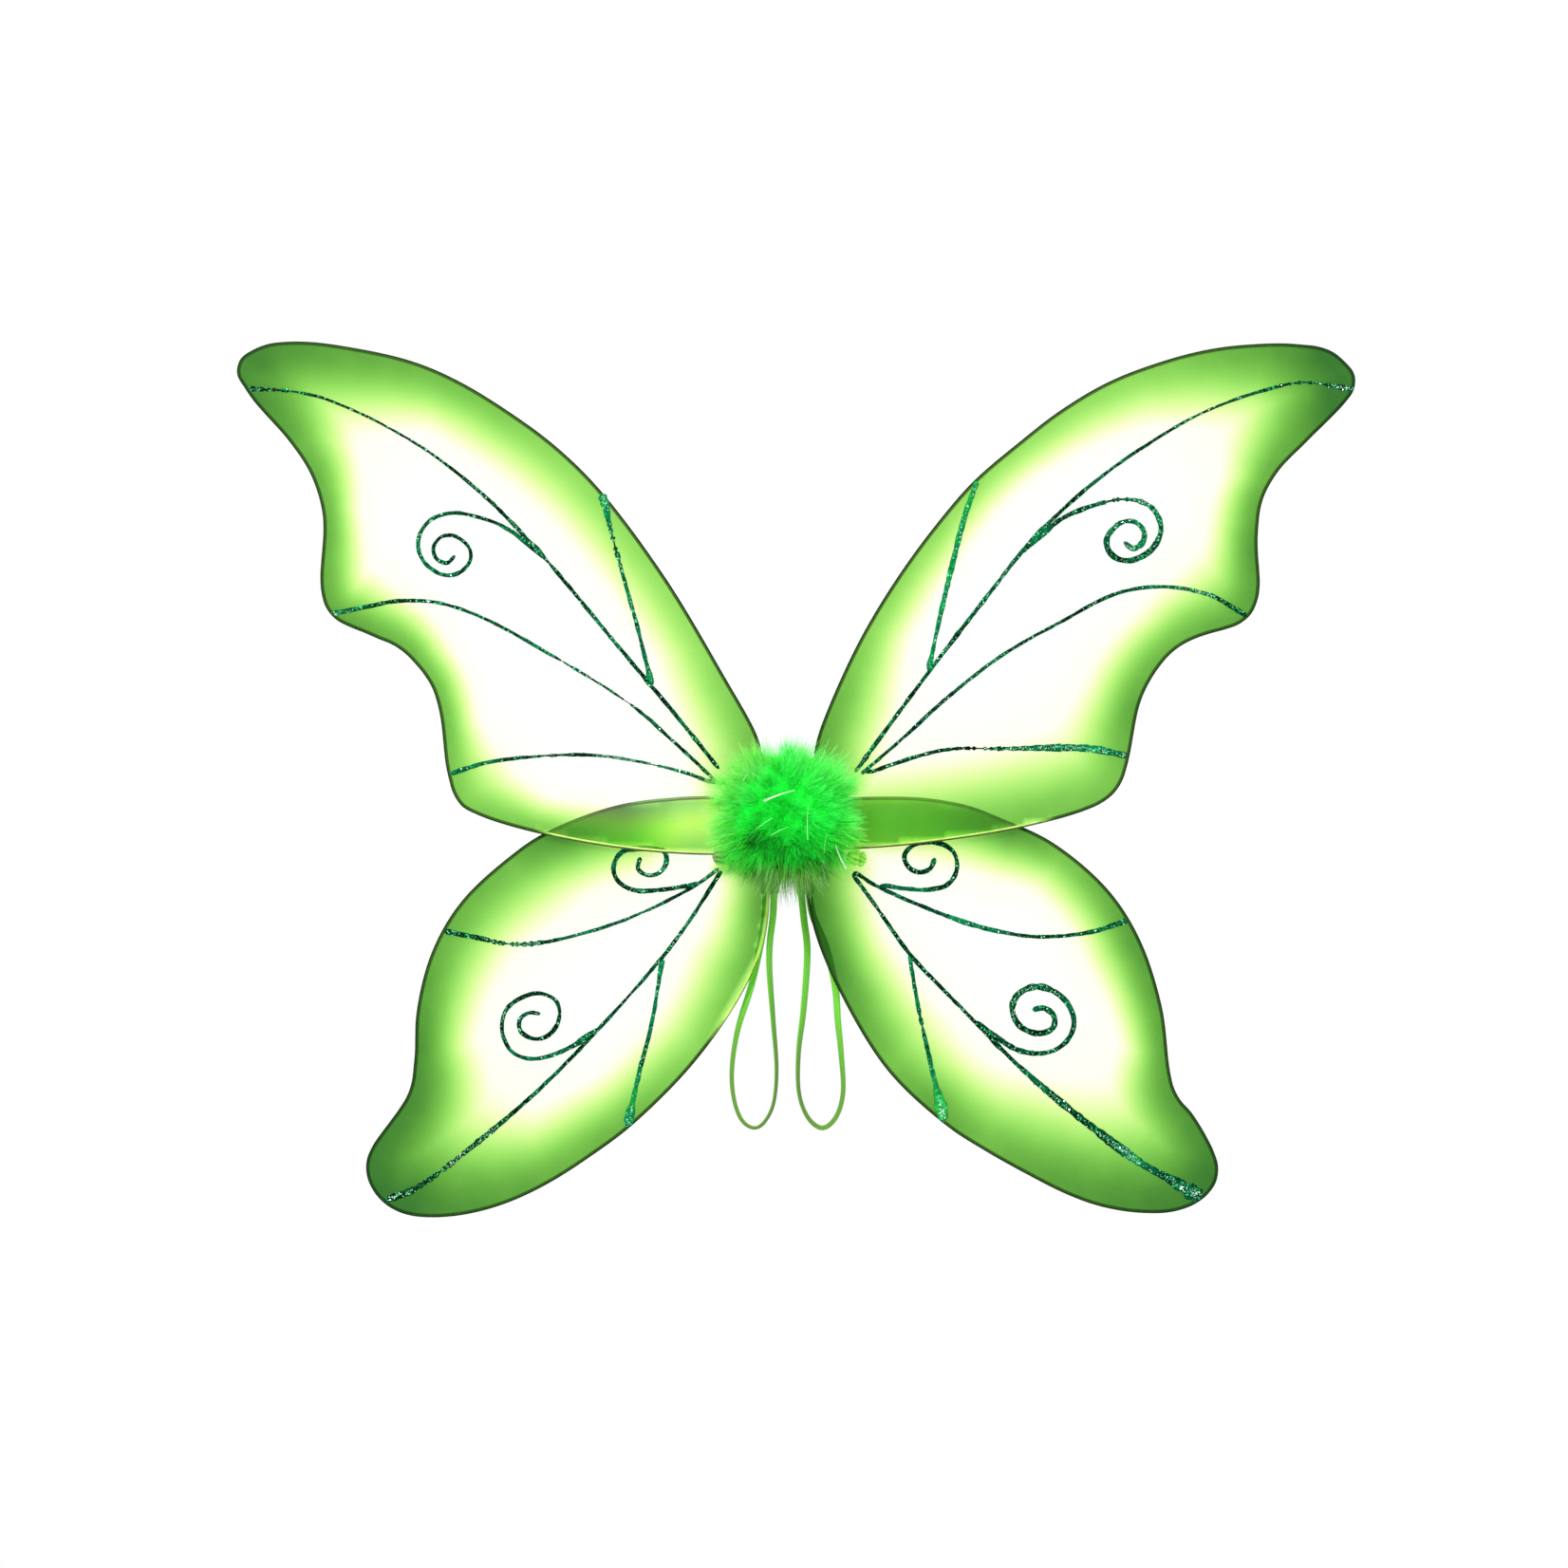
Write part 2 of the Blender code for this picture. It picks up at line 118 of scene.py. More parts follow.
class Shader:
    """A material on one Principled shader, with short calls for the nodes that feed it."""

    def __init__(self, name):
        self.material = bpy.data.materials.new(name)
        self.material.use_nodes = True
        self.tree = self.material.node_tree
        self.shader = self.tree.nodes["Principled BSDF"]
        self.output = self.tree.nodes["Material Output"]

    def node(self, kind, **settings):
        made = self.tree.nodes.new(kind)
        for key, value in settings.items():
            setattr(made, key, value)
        return made

    def link(self, source, target):
        self.tree.links.new(source, target)

    def feed(self, socket, value):
        if isinstance(value, bpy.types.NodeSocket):
            self.link(value, socket)
        else:
            socket.default_value = value

    def set(self, roughness=0.5, metallic=0.0, specular=0.5, sheen=0.0):
        self.shader.inputs["Roughness"].default_value = roughness
        self.shader.inputs["Metallic"].default_value = metallic
        self.shader.inputs["Specular IOR Level"].default_value = specular
        self.shader.inputs["Sheen Weight"].default_value = sheen

    def attribute(self, name):
        return self.node("ShaderNodeAttribute", attribute_name=name).outputs["Fac"]

    def position(self):
        return self.node("ShaderNodeTexCoord").outputs["Object"]

    def math(self, operation, a, b=0.0, clamp=False):
        made = self.node("ShaderNodeMath", operation=operation, use_clamp=clamp)
        self.feed(made.inputs[0], a)
        self.feed(made.inputs[1], b)
        return made.outputs[0]

    def noise(self, scale, detail=2.0):
        made = self.node("ShaderNodeTexNoise")
        made.inputs["Scale"].default_value = scale
        made.inputs["Detail"].default_value = detail
        self.link(self.position(), made.inputs["Vector"])
        return made.outputs["Fac"]

    def cells(self, scale):
        made = self.node("ShaderNodeTexVoronoi")
        made.inputs["Scale"].default_value = scale
        self.link(self.position(), made.inputs["Vector"])
        return made

    def wave(self, scale, direction):
        made = self.node("ShaderNodeTexWave", bands_direction=direction)
        made.inputs["Scale"].default_value = scale
        self.link(self.position(), made.inputs["Vector"])
        return made.outputs["Fac"]

    def spread(self, value, low, high, to_low, to_high):
        made = self.node("ShaderNodeMapRange")
        self.feed(made.inputs["Value"], value)
        limits = {"From Min": low, "From Max": high, "To Min": to_low, "To Max": to_high}
        for socket, number in limits.items():
            made.inputs[socket].default_value = number
        return made.outputs["Result"]

    def ramp(self, value, stops):
        made = self.node("ShaderNodeValToRGB")
        elements = made.color_ramp.elements
        while len(elements) < len(stops):
            elements.new(0.5)
        for element, (place, code) in zip(elements, stops):
            element.position = place
            element.color = srgb(code)
        self.feed(made.inputs["Fac"], value)
        return made.outputs["Color"]

    def mix(self, factor, a, b):
        made = self.node("ShaderNodeMix", data_type="RGBA")
        self.feed(made.inputs["Factor"], factor)
        self.feed(made.inputs[6], a)
        self.feed(made.inputs[7], b)
        return made.outputs[2]

    def bump(self, height, strength, distance):
        made = self.node("ShaderNodeBump")
        made.inputs["Strength"].default_value = strength
        made.inputs["Distance"].default_value = distance
        self.link(height, made.inputs["Height"])
        self.link(made.outputs["Normal"], self.shader.inputs["Normal"])


DYE_STOPS = (
    (0.0, "fcfffd"), (0.04, "fbfee2"), (0.1, "f3fdc4"), (0.2, "defaa2"), (0.3, "c6f388"), (0.4, "aee976"),
    (0.5, "98db64"), (0.6, "84ca56"), (0.7, "73b84a"), (0.8, "61a63f"), (0.9, "4e9036"), (1.0, "3b7c31"),
)


def nylon_material():
    """Sheer dyed nylon: dye tints what passes between the yarns, and the yarns scatter the rest."""
    s = Shader("sheer airbrushed nylon")
    s.set(roughness=0.55, specular=0.2, sheen=0.1)
    mottle = s.spread(s.noise(60.0, 4.0), 0.3, 0.7, 0.975, 1.025)
    dye_and_shadow = s.math("MULTIPLY", s.attribute("dye_and_shadow"), mottle, clamp=True)
    colour = s.ramp(dye_and_shadow, DYE_STOPS)
    s.link(colour, s.shader.inputs["Base Color"])
    passed = s.node("ShaderNodeGamma")
    s.link(colour, passed.inputs["Color"])
    passed.inputs["Gamma"].default_value = 0.5
    rim = s.attribute("rim")
    edge_dark = s.mix(s.math("MULTIPLY", rim, 0.45), passed.outputs["Color"], srgb("1c3a14"))
    holes = s.node("ShaderNodeBsdfTransparent")
    s.link(edge_dark, holes.inputs["Color"])
    cover = s.math("SUBTRACT", s.spread(dye_and_shadow, 0.0, 1.0, 0.03, 0.22), s.math("MULTIPLY", rim, 0.12))
    grain = s.spread(s.noise(2600.0, 0.0), 0.3, 0.7, 0.8, 1.2)
    yarns = s.node("ShaderNodeMixShader")
    s.link(s.math("MULTIPLY", cover, grain, clamp=True), yarns.inputs["Fac"])
    s.link(holes.outputs["BSDF"], yarns.inputs[1])
    s.link(s.shader.outputs["BSDF"], yarns.inputs[2])
    s.link(yarns.outputs["Shader"], s.output.inputs["Surface"])
    knit = s.math("ADD", s.wave(260.0, "X"), s.wave(260.0, "Z"))
    s.bump(knit, 0.05, 0.0003)
    return s.material


def wire_material():
    s = Shader("dark green enamelled wire")
    highlit = s.attribute("painted_highlight")
    s.set(roughness=0.4, specular=0.12)
    tone = s.noise(220.0, 3.0)
    enamel = s.ramp(tone, ((0.3, "040c06"), (0.7, "0d220c")))
    # A pale painted highlight, mixed over the dark enamel along the wire's upper side.
    highlight_colour = s.ramp(tone, ((0.3, "d4d6a0"), (0.7, "f4f2d0")))
    s.link(s.mix(highlit, enamel, highlight_colour), s.shader.inputs["Base Color"])
    s.link(s.spread(s.noise(900.0), 0.3, 0.7, 0.25, 0.42), s.shader.inputs["Roughness"])
    s.bump(s.noise(700.0, 3.0), 0.15, 0.0003)
    return s.material


GLUE_STOPS = (
    (0.0, "010d06"), (0.25, "022414"), (0.45, "045034"), (0.65, "087a4a"), (0.82, "128c34"), (1.0, "24ac3a"),
)
FLECK_AND_GLINT_STOPS = ((0.0, "03381a"), (0.5, "0a8040"), (0.8, "2cc074"), (1.0, "a8f8c8"))
FLAKE_STOPS = ((0.0, "03602c"), (0.35, "088a48"), (0.6, "2ac078"), (0.8, "8cf0bc"), (1.0, "fbfff8"))


def glitter_material():
    """Dried glitter glue: deep green, with cells painted as separate flecks, the lightest of them painted
    glints.
    """
    s = Shader("glitter glue")
    s.set(roughness=0.6, specular=0.02)
    cells = s.cells(1300.0)
    pick = s.node("ShaderNodeSeparateColor")
    s.link(cells.outputs["Color"], pick.inputs["Color"])
    uneven = s.spread(s.noise(260.0, 3.0), 0.3, 0.7, -0.18, 0.18)
    glow = s.math("ADD", s.attribute("glow"), uneven, clamp=True)
    glue = s.ramp(glow, GLUE_STOPS)
    # Flecks run from dark green to pale mint; the pale ones are painted glints.
    fleck_and_glint = s.ramp(pick.outputs["Red"], FLECK_AND_GLINT_STOPS)
    sparse = s.spread(pick.outputs["Green"], 0.78, 0.86, 0.0, 1.0)
    s.link(s.mix(sparse, glue, fleck_and_glint), s.shader.inputs["Base Color"])
    s.link(s.spread(pick.outputs["Green"], 0.0, 1.0, 0.25, 0.5), s.shader.inputs["Roughness"])
    s.bump(pick.outputs["Blue"], 0.5, 0.0003)
    return s.material


def flake_material():
    s = Shader("glitter flakes")
    s.set(roughness=0.2, metallic=0.7, specular=0.2)
    tone = s.attribute("tone")
    s.link(s.ramp(tone, FLAKE_STOPS), s.shader.inputs["Base Color"])
    s.link(s.spread(tone, 0.0, 1.0, 0.3, 0.1), s.shader.inputs["Roughness"])
    return s.material


# ---------------------------------------------------------------- lines read from the frame

def tube_line(node):
    """The centre line of a flat-lying CAD tube, from its far end to its hub end, and its depth."""
    mesh = NODES[node].data
    places = np.array([vertex.co for vertex in mesh.vertices])
    depth = (places[:, 1].min() + places[:, 1].max()) / 2
    front = places[:, 1] < places[:, 1].min() + 0.01 * MM
    key = {}
    same = [key.setdefault(tuple(np.round(place, 6)), index) for index, place in enumerate(places)]
    near = {}
    for edge in mesh.edges:
        a, b = (same[index] for index in edge.vertices)
        if front[a] and front[b] and a != b:
            near.setdefault(a, set()).add(b)
            near.setdefault(b, set()).add(a)
    ends = [index for index, others in near.items() if len(others) == 1]
    walk = [max(ends, key=lambda index: np.hypot(places[index, 0], places[index, 2]))]
    while len(walk) < len(near):
        walk.append(next(index for index in near[walk[-1]] if index not in walk[-2:]))
    return places[walk][:, [0, 2]], depth


def smooth_line(points, step):
    """A Catmull-Rom curve through the points, at an even spacing."""
    points = np.asarray(points, float)
    chain = np.vstack([2 * points[0] - points[1], points, 2 * points[-1] - points[-2]])
    t = np.linspace(0, 1, 16, endpoint=False)[:, None]
    parts = []
    for a, b, c, d in zip(chain, chain[1:], chain[2:], chain[3:]):
        parts.append(0.5 * (2 * b + (c - a) * t + (2 * a - 5 * b + 4 * c - d) * t**2
                            + (3 * b - a - 3 * c + d) * t**3))
    return even_line(np.vstack([*parts, points[-1:]]), step)


def line_lengths(points):
    return np.concatenate([[0.0], np.cumsum(np.linalg.norm(np.diff(points, axis=0), axis=1))])


def even_line(points, step):
    lengths = line_lengths(points)
    count = max(2, round(lengths[-1] / step))
    targets = np.linspace(0, lengths[-1], count + 1)
    return np.stack([np.interp(targets, lengths, axis) for axis in points.T], axis=1)


def turned(points):
    """Unit tangents along a line of points."""
    along = np.gradient(points, axis=0)
    return along / np.maximum(np.linalg.norm(along, axis=1, keepdims=True), 1e-12)


# ---------------------------------------------------------------- mesh helpers

def mesh_piece(name, vertices, faces, material, smooth=True):
    mesh = bpy.data.meshes.new(name)
    mesh.from_pydata([tuple(v) for v in vertices], [], [tuple(f) for f in faces])
    mesh.materials.append(material)
    if smooth:
        mesh.shade_smooth()
    piece = bpy.data.objects.new(name, mesh)
    bpy.context.scene.collection.objects.link(piece)
    return piece


def set_attribute(piece, name, values):
    attribute = piece.data.attributes.new(name, "FLOAT", "POINT")
    attribute.data.foreach_set("value", np.asarray(values, np.float32))


def ring_faces(rings, sides, first=0, closed=True):
    """Quads between neighbouring rings of a tube, and a fan at each end."""
    faces = []
    for ring in range(rings - 1):
        for side in range(sides):
            a = first + ring * sides + side
            b = first + ring * sides + (side + 1) % sides
            faces.append((a, b, b + sides, a + sides))
    if closed:
        faces.append(tuple(first + side for side in reversed(range(sides))))
        last = first + (rings - 1) * sides
        faces.append(tuple(last + side for side in range(sides)))
    return faces


def frames_along(points):
    """Steady side and up directions along a line in space."""
    tangents = turned(points)
    side = np.cross(tangents[0], (0, 1, 0))
    if np.linalg.norm(side) < 0.1:
        side = np.cross(tangents[0], (1, 0, 0))
    sides = []
    for tangent in tangents:
        side = side - tangent * np.dot(side, tangent)
        side = side / np.linalg.norm(side)
        sides.append(side)
    sides = np.array(sides)
    return sides, np.cross(tangents, sides)


def tube_vertices(points, radii, sides):
    across, up = frames_along(points)
    turns = np.linspace(0, 2 * math.pi, sides, endpoint=False)
    ring = np.cos(turns)[None, :, None] * across[:, None] + np.sin(turns)[None, :, None] * up[:, None]
    return (points[:, None] + ring * np.asarray(radii)[:, None, None]).reshape(-1, 3)


def in_space(flat, depth):
    """(x, z) points at a depth become points in space."""
    return np.stack([flat[:, 0], np.broadcast_to(depth, len(flat)), flat[:, 1]], axis=1)


# ---------------------------------------------------------------- wing wires

WIRE_RADIUS = 1.0 * MM
WIRE_SIDES = 10
WIRE_STEP = 2.5 * MM


def wire_line(wing):
    return tube_line(f"{wing}_wire")


# Where a pale painted highlight is laid along the wire's upper side, as boxes: from x to x and z to z in
# millimetres, and how strongly it shows.
HIGHLIGHT_RUNS = {
    "left_upper": ((-150, -24, -60, 12, 1.0),),
    "right_upper": ((24, 158, -60, 12, 1.0),),
    "left_lower": ((-48, 20, -150, -15, 0.9), (-100, 20, -8, 30, 0.5)),
    "right_lower": ((-20, 110, -8, 30, 0.4),),
}
HIGHLIGHT_FADE = 12 * MM


def painted_highlight_at(wing, flat):
    """How strongly the painted highlight shows along a wing's wire."""
    x, z = flat[:, 0], flat[:, 1]
    highlit = np.zeros(len(flat))
    for first, last, low, high, strength in HIGHLIGHT_RUNS[wing]:
        along = np.clip((x - first * MM) / HIGHLIGHT_FADE, 0, 1)
        along = along * np.clip((last * MM - x) / HIGHLIGHT_FADE, 0, 1)
        highlit = np.maximum(highlit, strength * along * (z > low * MM) * (z < high * MM))
    return highlit


def make_wire(wing, material):
    points, depth = wire_line(wing)
    line = in_space(smooth_line(points, WIRE_STEP), depth)
    vertices = tube_vertices(line, np.full(len(line), WIRE_RADIUS), WIRE_SIDES)
    piece = mesh_piece(f"{wing}_wire_loop", vertices, ring_faces(len(line), WIRE_SIDES), material)
    # The painted highlight goes only on the tube's upper side, where the light falls on it.
    lit_side = vertices[:, 2] > np.repeat(line[:, 2], WIRE_SIDES) - 0.3 * WIRE_RADIUS
    set_attribute(piece, "painted_highlight", np.repeat(painted_highlight_at(wing, line[:, [0, 2]]), WIRE_SIDES) * lit_side)
    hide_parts(f"{wing}_wire")
    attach(piece, f"{wing}_wing")


# ---------------------------------------------------------------- nylon sleeves

# The airbrushed band at the places where it changes along each wire: x and z of the place, the dye's
# strength there, and the band's width. Places and widths are in millimetres.
DYE_BANDS = {
    "left_upper": (
        (-16, 30, 0.7, 50), (-50, 110, 0.5, 35), (-135, 215, 0.55, 40), (-205, 262, 0.7, 40),
        (-285, 280, 0.85, 70), (-317, 274, 0.95, 90), (-312, 244, 0.9, 70), (-289, 217, 0.75, 40),
        (-274, 180, 0.75, 25), (-258, 114, 0.8, 40), (-215, 88, 0.7, 25), (-202, 53, 0.7, 25),
        (-194, 10, 0.6, 45), (-150, -6, 0.65, 25), (-66, -20, 0.5, 30), (-16, -16, 0.65, 40),
    ),
    "right_upper": (
        (16, 30, 0.85, 50), (29, 74, 0.7, 45), (48, 114, 0.55, 30), (130, 217, 0.5, 25),
        (208, 264, 0.55, 40), (284, 279, 0.8, 65), (320, 275, 1.0, 90), (329, 247, 1.05, 80),
        (304, 221, 0.8, 55),
        (282, 195, 0.75, 30), (276, 159, 0.85, 35), (269, 117, 0.8, 55), (228, 101, 0.7, 35),
        (205, 63, 0.8, 40), (195, 20, 0.65, 60), (16, -14, 0.7, 55),
    ),
    "left_lower": (
        (-16, 9, 0.4, 25), (-67, 11, 0.55, 30), (-101, 6, 1.0, 50), (-133, -5, 0.95, 50),
        (-163, -23, 0.7, 55), (-207, -74, 0.75, 50), (-219, -140, 0.9, 40), (-242, -189, 0.95, 80),
        (-247, -214, 1.0, 90),
        (-227, -232, 1.0, 105), (-200, -234, 0.9, 90), (-142, -215, 0.75, 50), (-87, -175, 0.7, 40),
        (-50, -137, 0.55, 40), (-23, -95, 0.7, 45), (-14, -45, 0.8, 35),
    ),
    "right_lower": (
        (16, 9, 0.7, 40), (100, 8, 0.8, 45), (132, -4, 0.9, 40), (163, -20, 0.65, 35), (207, -72, 0.85, 40),
        (223, -140, 0.8, 30), (247, -189, 0.9, 70), (251, -215, 1.0, 90), (229, -231, 0.95, 100),
        (175, -225, 0.85, 80), (113, -193, 0.7, 55), (85, -173, 0.8, 50), (60, -149, 0.65, 55),
        (25, -88, 0.9, 45), (14, -30, 0.9, 45),
    ),
}
# Extra dark patches where the nylon is drawn in at the hub, partly dye and partly the pouf's painted shadow:
# x, z, strength and width.
DYE_AND_SHADOW_SPOTS = {
    "left_lower": ((-22, -27, 0.85, 13), (-31, -29, 0.75, 10), (-38, -29, 0.55, 8)),
    "right_lower": ((24, -30, 0.7, 14),),
}
SLEEVE_GAP = 1.08 * MM
SLEEVE_SAG = 0.5 * MM
SAG_REACH = 9 * MM
SLEEVE_STEP = 2.4 * MM
SLEEVE_PITCH = 4.2 * MM
PLEATS = 42
PLEAT_HEIGHT = 0.35 * MM
PLEAT_REACH = 26 * MM
RIM_TURNS = (-60, -30, 0, 30, 60)
# The share of the dye that drifts on past the band, and how far each share goes in band widths.
FAINT_SHARE = 0.045
BAND_REACH = 0.9
FAINT_REACH = 1.7


def inside(points, outline):
    """Which points lie inside a closed outline."""
    x, z = points[:, 0][:, None], points[:, 1][:, None]
    x0, z0 = outline[:, 0], outline[:, 1]
    x1, z1 = np.roll(x0, -1), np.roll(z0, -1)
    rise = np.where(z1 == z0, 1e-12, z1 - z0)
    crossing = ((z0 > z) != (z1 > z)) & (x < (x1 - x0) * (z - z0) / rise + x0)
    return crossing.sum(1) % 2 == 1


def gaps_to(points, line):
    return np.linalg.norm(points[:, None] - line[None], axis=2)


def sleeve_outline(wing):
    """The wire's line as a closed loop across the hub side, running anticlockwise as seen from outside."""
    points, depth = wire_line(wing)
    line = smooth_line(points, SLEEVE_STEP)
    bridge = even_line(np.array([line[-1], line[0]]), SLEEVE_STEP)[1:-1]
    loop = np.vstack([line, bridge])
    x, z = loop[:, 0], loop[:, 1]
    area = 0.5 * np.sum(x * np.roll(z, -1) - np.roll(x, -1) * z)
    if area < 0:
        loop = loop[::-1]
    return loop, line, depth, abs(area)


def fading(reach):
    """Falls smoothly from 1 to 0 as the reach goes from 0 to 1."""
    reach = np.clip(reach, 0, 1)
    return 1 - reach * reach * (3 - 2 * reach)


def dye_and_shadow_at(points, line, wing):
    """The airbrush's dye: strongest on the wire and fading inwards, over a band of varied width, with spots
    near the hub that are partly painted shadow.
    """
    bands = np.array(DYE_BANDS[wing], float)
    nearest = gaps_to(bands[:, :2] * MM, line).argmin(1)
    bands = bands[np.argsort(nearest)]
    nearest = np.sort(nearest)
    strength = np.interp(np.arange(len(line)), nearest, bands[:, 2])
    width = np.interp(np.arange(len(line)), nearest, bands[:, 3]) * MM
    reach = gaps_to(points, line) / width
    fade = (1 - FAINT_SHARE) * fading(reach / BAND_REACH) + FAINT_SHARE * fading(reach / FAINT_REACH)
    dye_and_shadow = (strength * fade).max(1)
    # Spots near the hub: partly dye, partly the pouf's painted shadow.
    for x, z, strong, wide in DYE_AND_SHADOW_SPOTS.get(wing, ()):
        away = np.hypot(points[:, 0] - x * MM, points[:, 1] - z * MM) / (wide * MM)
        dye_and_shadow = np.maximum(dye_and_shadow, strong * fading(away))
    return np.minimum(dye_and_shadow, 1.0)


def grid_inside(loop):
    """Points in a grid of triangles over the inside of a loop, clear of its edge."""
    low, high = loop.min(0), loop.max(0)
    rows = []
    for row, z in enumerate(np.arange(low[1], high[1], SLEEVE_PITCH * 0.866)):
        xs = np.arange(low[0] + (row % 2) * SLEEVE_PITCH / 2, high[0], SLEEVE_PITCH)
        rows.append(np.stack([xs, np.full(len(xs), z)], axis=1))
    grid = np.vstack(rows)
    grid = grid[inside(grid, loop)]
    return grid[gaps_to(grid, loop).min(1) > 2.0 * MM]


def layer_lift(gap):
    """How far a layer stands from the wire's middle, at a gap from the wire."""
    return SLEEVE_GAP - SLEEVE_SAG * (1 - np.exp(-gap / SAG_REACH))


def make_sleeve(wing, material):
    """Two layers of sheer nylon in one closed sleeve, stretched flat over the wire loop."""
    loop, line, depth, area = sleeve_outline(wing)
    grid = grid_inside(loop)
    count = len(loop)
    flat = np.vstack([loop, grid])
    result = geometry.delaunay_2d_cdt([Vector(p) for p in flat], [], [list(range(count))], 1, 1e-7)
    places, triangles = result[0], result[2]
    assert len(places) == len(flat)
    gap = gaps_to(flat, line).min(1)
    lift = layer_lift(gap)
    root = np.array([line[0], line[-1]]).mean(0)
    from_root = flat - root
    spokes = np.arctan2(from_root[:, 1], from_root[:, 0])
    near_root = np.exp(-np.linalg.norm(from_root, axis=1) / PLEAT_REACH)
    pleats = PLEAT_HEIGHT * np.sin(spokes * PLEATS) * near_root
    inner = 1 - np.exp(-gap / (3 * MM))
    front = in_space(flat, depth - lift + pleats * inner)
    rear = in_space(flat, depth + lift + pleats * inner)

    along = np.roll(loop, -1, axis=0) - np.roll(loop, 1, axis=0)
    along /= np.linalg.norm(along, axis=1, keepdims=True)
    outward = np.stack([along[:, 1], -along[:, 0]], axis=1)
    rim = [in_space(loop + outward * SLEEVE_GAP * math.cos(turn), depth + SLEEVE_GAP * math.sin(turn))
           for turn in np.radians(RIM_TURNS)]
    vertices = np.vstack([front, rear, *rim])

    total = len(flat)
    faces = [tuple(t) for t in triangles]
    faces += [tuple(total + index for index in reversed(t)) for t in triangles]
    rings = [0] + [2 * total + count * number for number in range(len(rim))] + [total]
    for first, second in zip(rings, rings[1:]):
        for index in range(count):
            after = (index + 1) % count
            faces.append((first + after, first + index, second + index, second + after))
    piece = mesh_piece(f"{wing}_nylon_sleeve", vertices, faces, material)
    dye_and_shadow = dye_and_shadow_at(flat, line, wing)
    # The dye and the rim's darkening are thinned where the wire's painted highlight shows through.
    highlit = painted_highlight_at(wing, loop)
    dye_and_shadow[:count] *= 1 - 0.7 * highlit
    set_attribute(piece, "dye_and_shadow", np.concatenate([dye_and_shadow, dye_and_shadow, *[dye_and_shadow[:count]] * len(rim)]))
    set_attribute(piece, "rim", np.concatenate([np.zeros(2 * total), *[1 - highlit] * len(rim)]))
    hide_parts(f"{wing}_nylon")
    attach(piece, f"{wing}_wing")


# ---------------------------------------------------------------- glitter veins

VEIN_WIDTH = {
    "main_vein": 2.2, "middle_vein": 2.0, "lower_vein": 2.1, "side_vein": 2.2,
    "brace": 2.2, "curl": 2.4, "small_curl": 2.5,
}
# How bright and how green the glue is along each vein, before it varies.
VEIN_GLOW = {
    "main_vein": 0.2, "middle_vein": 0.2, "lower_vein": 0.28, "side_vein": 0.26,
    "brace": 0.55, "curl": 0.24, "small_curl": 0.26,
}
# Where a vein runs into its neighbour or on to the wire: x and z in millimetres.
VEIN_JOINS = {
    "left_upper_curl": (-143, 154), "right_upper_curl": (142, 153), "left_lower_curl": (-111, -124),
    "right_lower_curl": (110, -120), "left_lower_small_curl": (-53, -38),
    "right_lower_small_curl": (54, -40),
    "left_upper_brace": (-109.5, 191),
}
# Where more or less glue was squeezed out: x, z, times the usual width, and the reach of it in millimetres.
VEIN_SWELLS = {
    "left_upper_main_vein": (
        (-240, 235, 0.62, 70), (-140, 151, 0.6, 4), (-147, 158, 1.4, 5), (-81, 82, 1.5, 4),
    ),
    "left_upper_middle_vein": (
        (-132, 93, 0.5, 5), (-95, 68, 0.5, 5), (-113, 81, 0.65, 12), (-190, 103, 0.75, 30),
    ),
    "left_upper_lower_vein": ((-80, 34, 0.75, 30),),
    "left_upper_curl": ((-192, 168, 0.85, 30),),
    "left_upper_brace": ((-108, 188, 1.5, 9), (-81, 83, 1.6, 4)),
    "left_lower_main_vein": ((-94, -102, 0.7, 14), (-182, -190, 1.5, 22), (-220, -222, 1.5, 16)),
    "left_lower_curl": ((-120, -131, 1.6, 5),),
    "left_lower_brace": ((-94, -174, 1.5, 8), (-74, -86, 1.4, 6)),
    "left_lower_side_vein": ((-164, -72, 1.25, 24), (-90, -50, 0.75, 24)),
    "right_upper_main_vein": ((149, 168, 1.5, 8), (100, 110, 1.2, 14), (240, 252, 0.62, 50)),
    "right_upper_lower_vein": ((165, 41, 1.9, 28),),
    "right_upper_curl": ((205, 165, 1.4, 30),),
    "right_upper_brace": ((84, 91, 1.7, 5), (95, 139, 1.25, 30)),
    "right_lower_main_vein": (
        (128, -131, 1.5, 6), (160, -164, 1.8, 22), (197, -190, 2.2, 24), (238, -217, 2.8, 15),
    ),
    "right_lower_curl": ((135, -95, 1.8, 34),),
    "right_lower_brace": ((88, -170, 2.8, 8),),
    "right_lower_side_vein": ((108, -62, 1.35, 18),),
}
# Where the bead breaks up into dots: x, z and the reach of it in millimetres.
VEIN_DASHES = {
    "left_upper_middle_vein": ((-132, 93, 6), (-95, 68, 6)),
    "left_upper_brace": ((-101, 163, 16),),
    "left_upper_lower_vein": ((-80, 32, 10), (-140, 46, 14)),
    "left_upper_main_vein": ((-300, 258, 18),),
    "left_lower_main_vein": ((-205, -208, 20),),
    "right_upper_main_vein": ((308, 264, 20),),
    "left_lower_side_vein": ((-166, -72, 20),),
    "right_upper_lower_vein": ((112, 40, 14),),
    "right_upper_curl": ((194, 187, 11),),
    "right_lower_brace": ((76, -120, 8),),
}
VEIN_STEP = 0.8 * MM
VEIN_HEIGHT = 0.75 * MM
BEAD_TURNS = (0, 36, 72, 108, 144, 180)
VEIN_REACH = 2.4 * MM
VEIN_CATCH = 8.0 * MM
VEIN_PULL = 2.2 * MM
CURL_NAMES = ("curl", "small_curl")


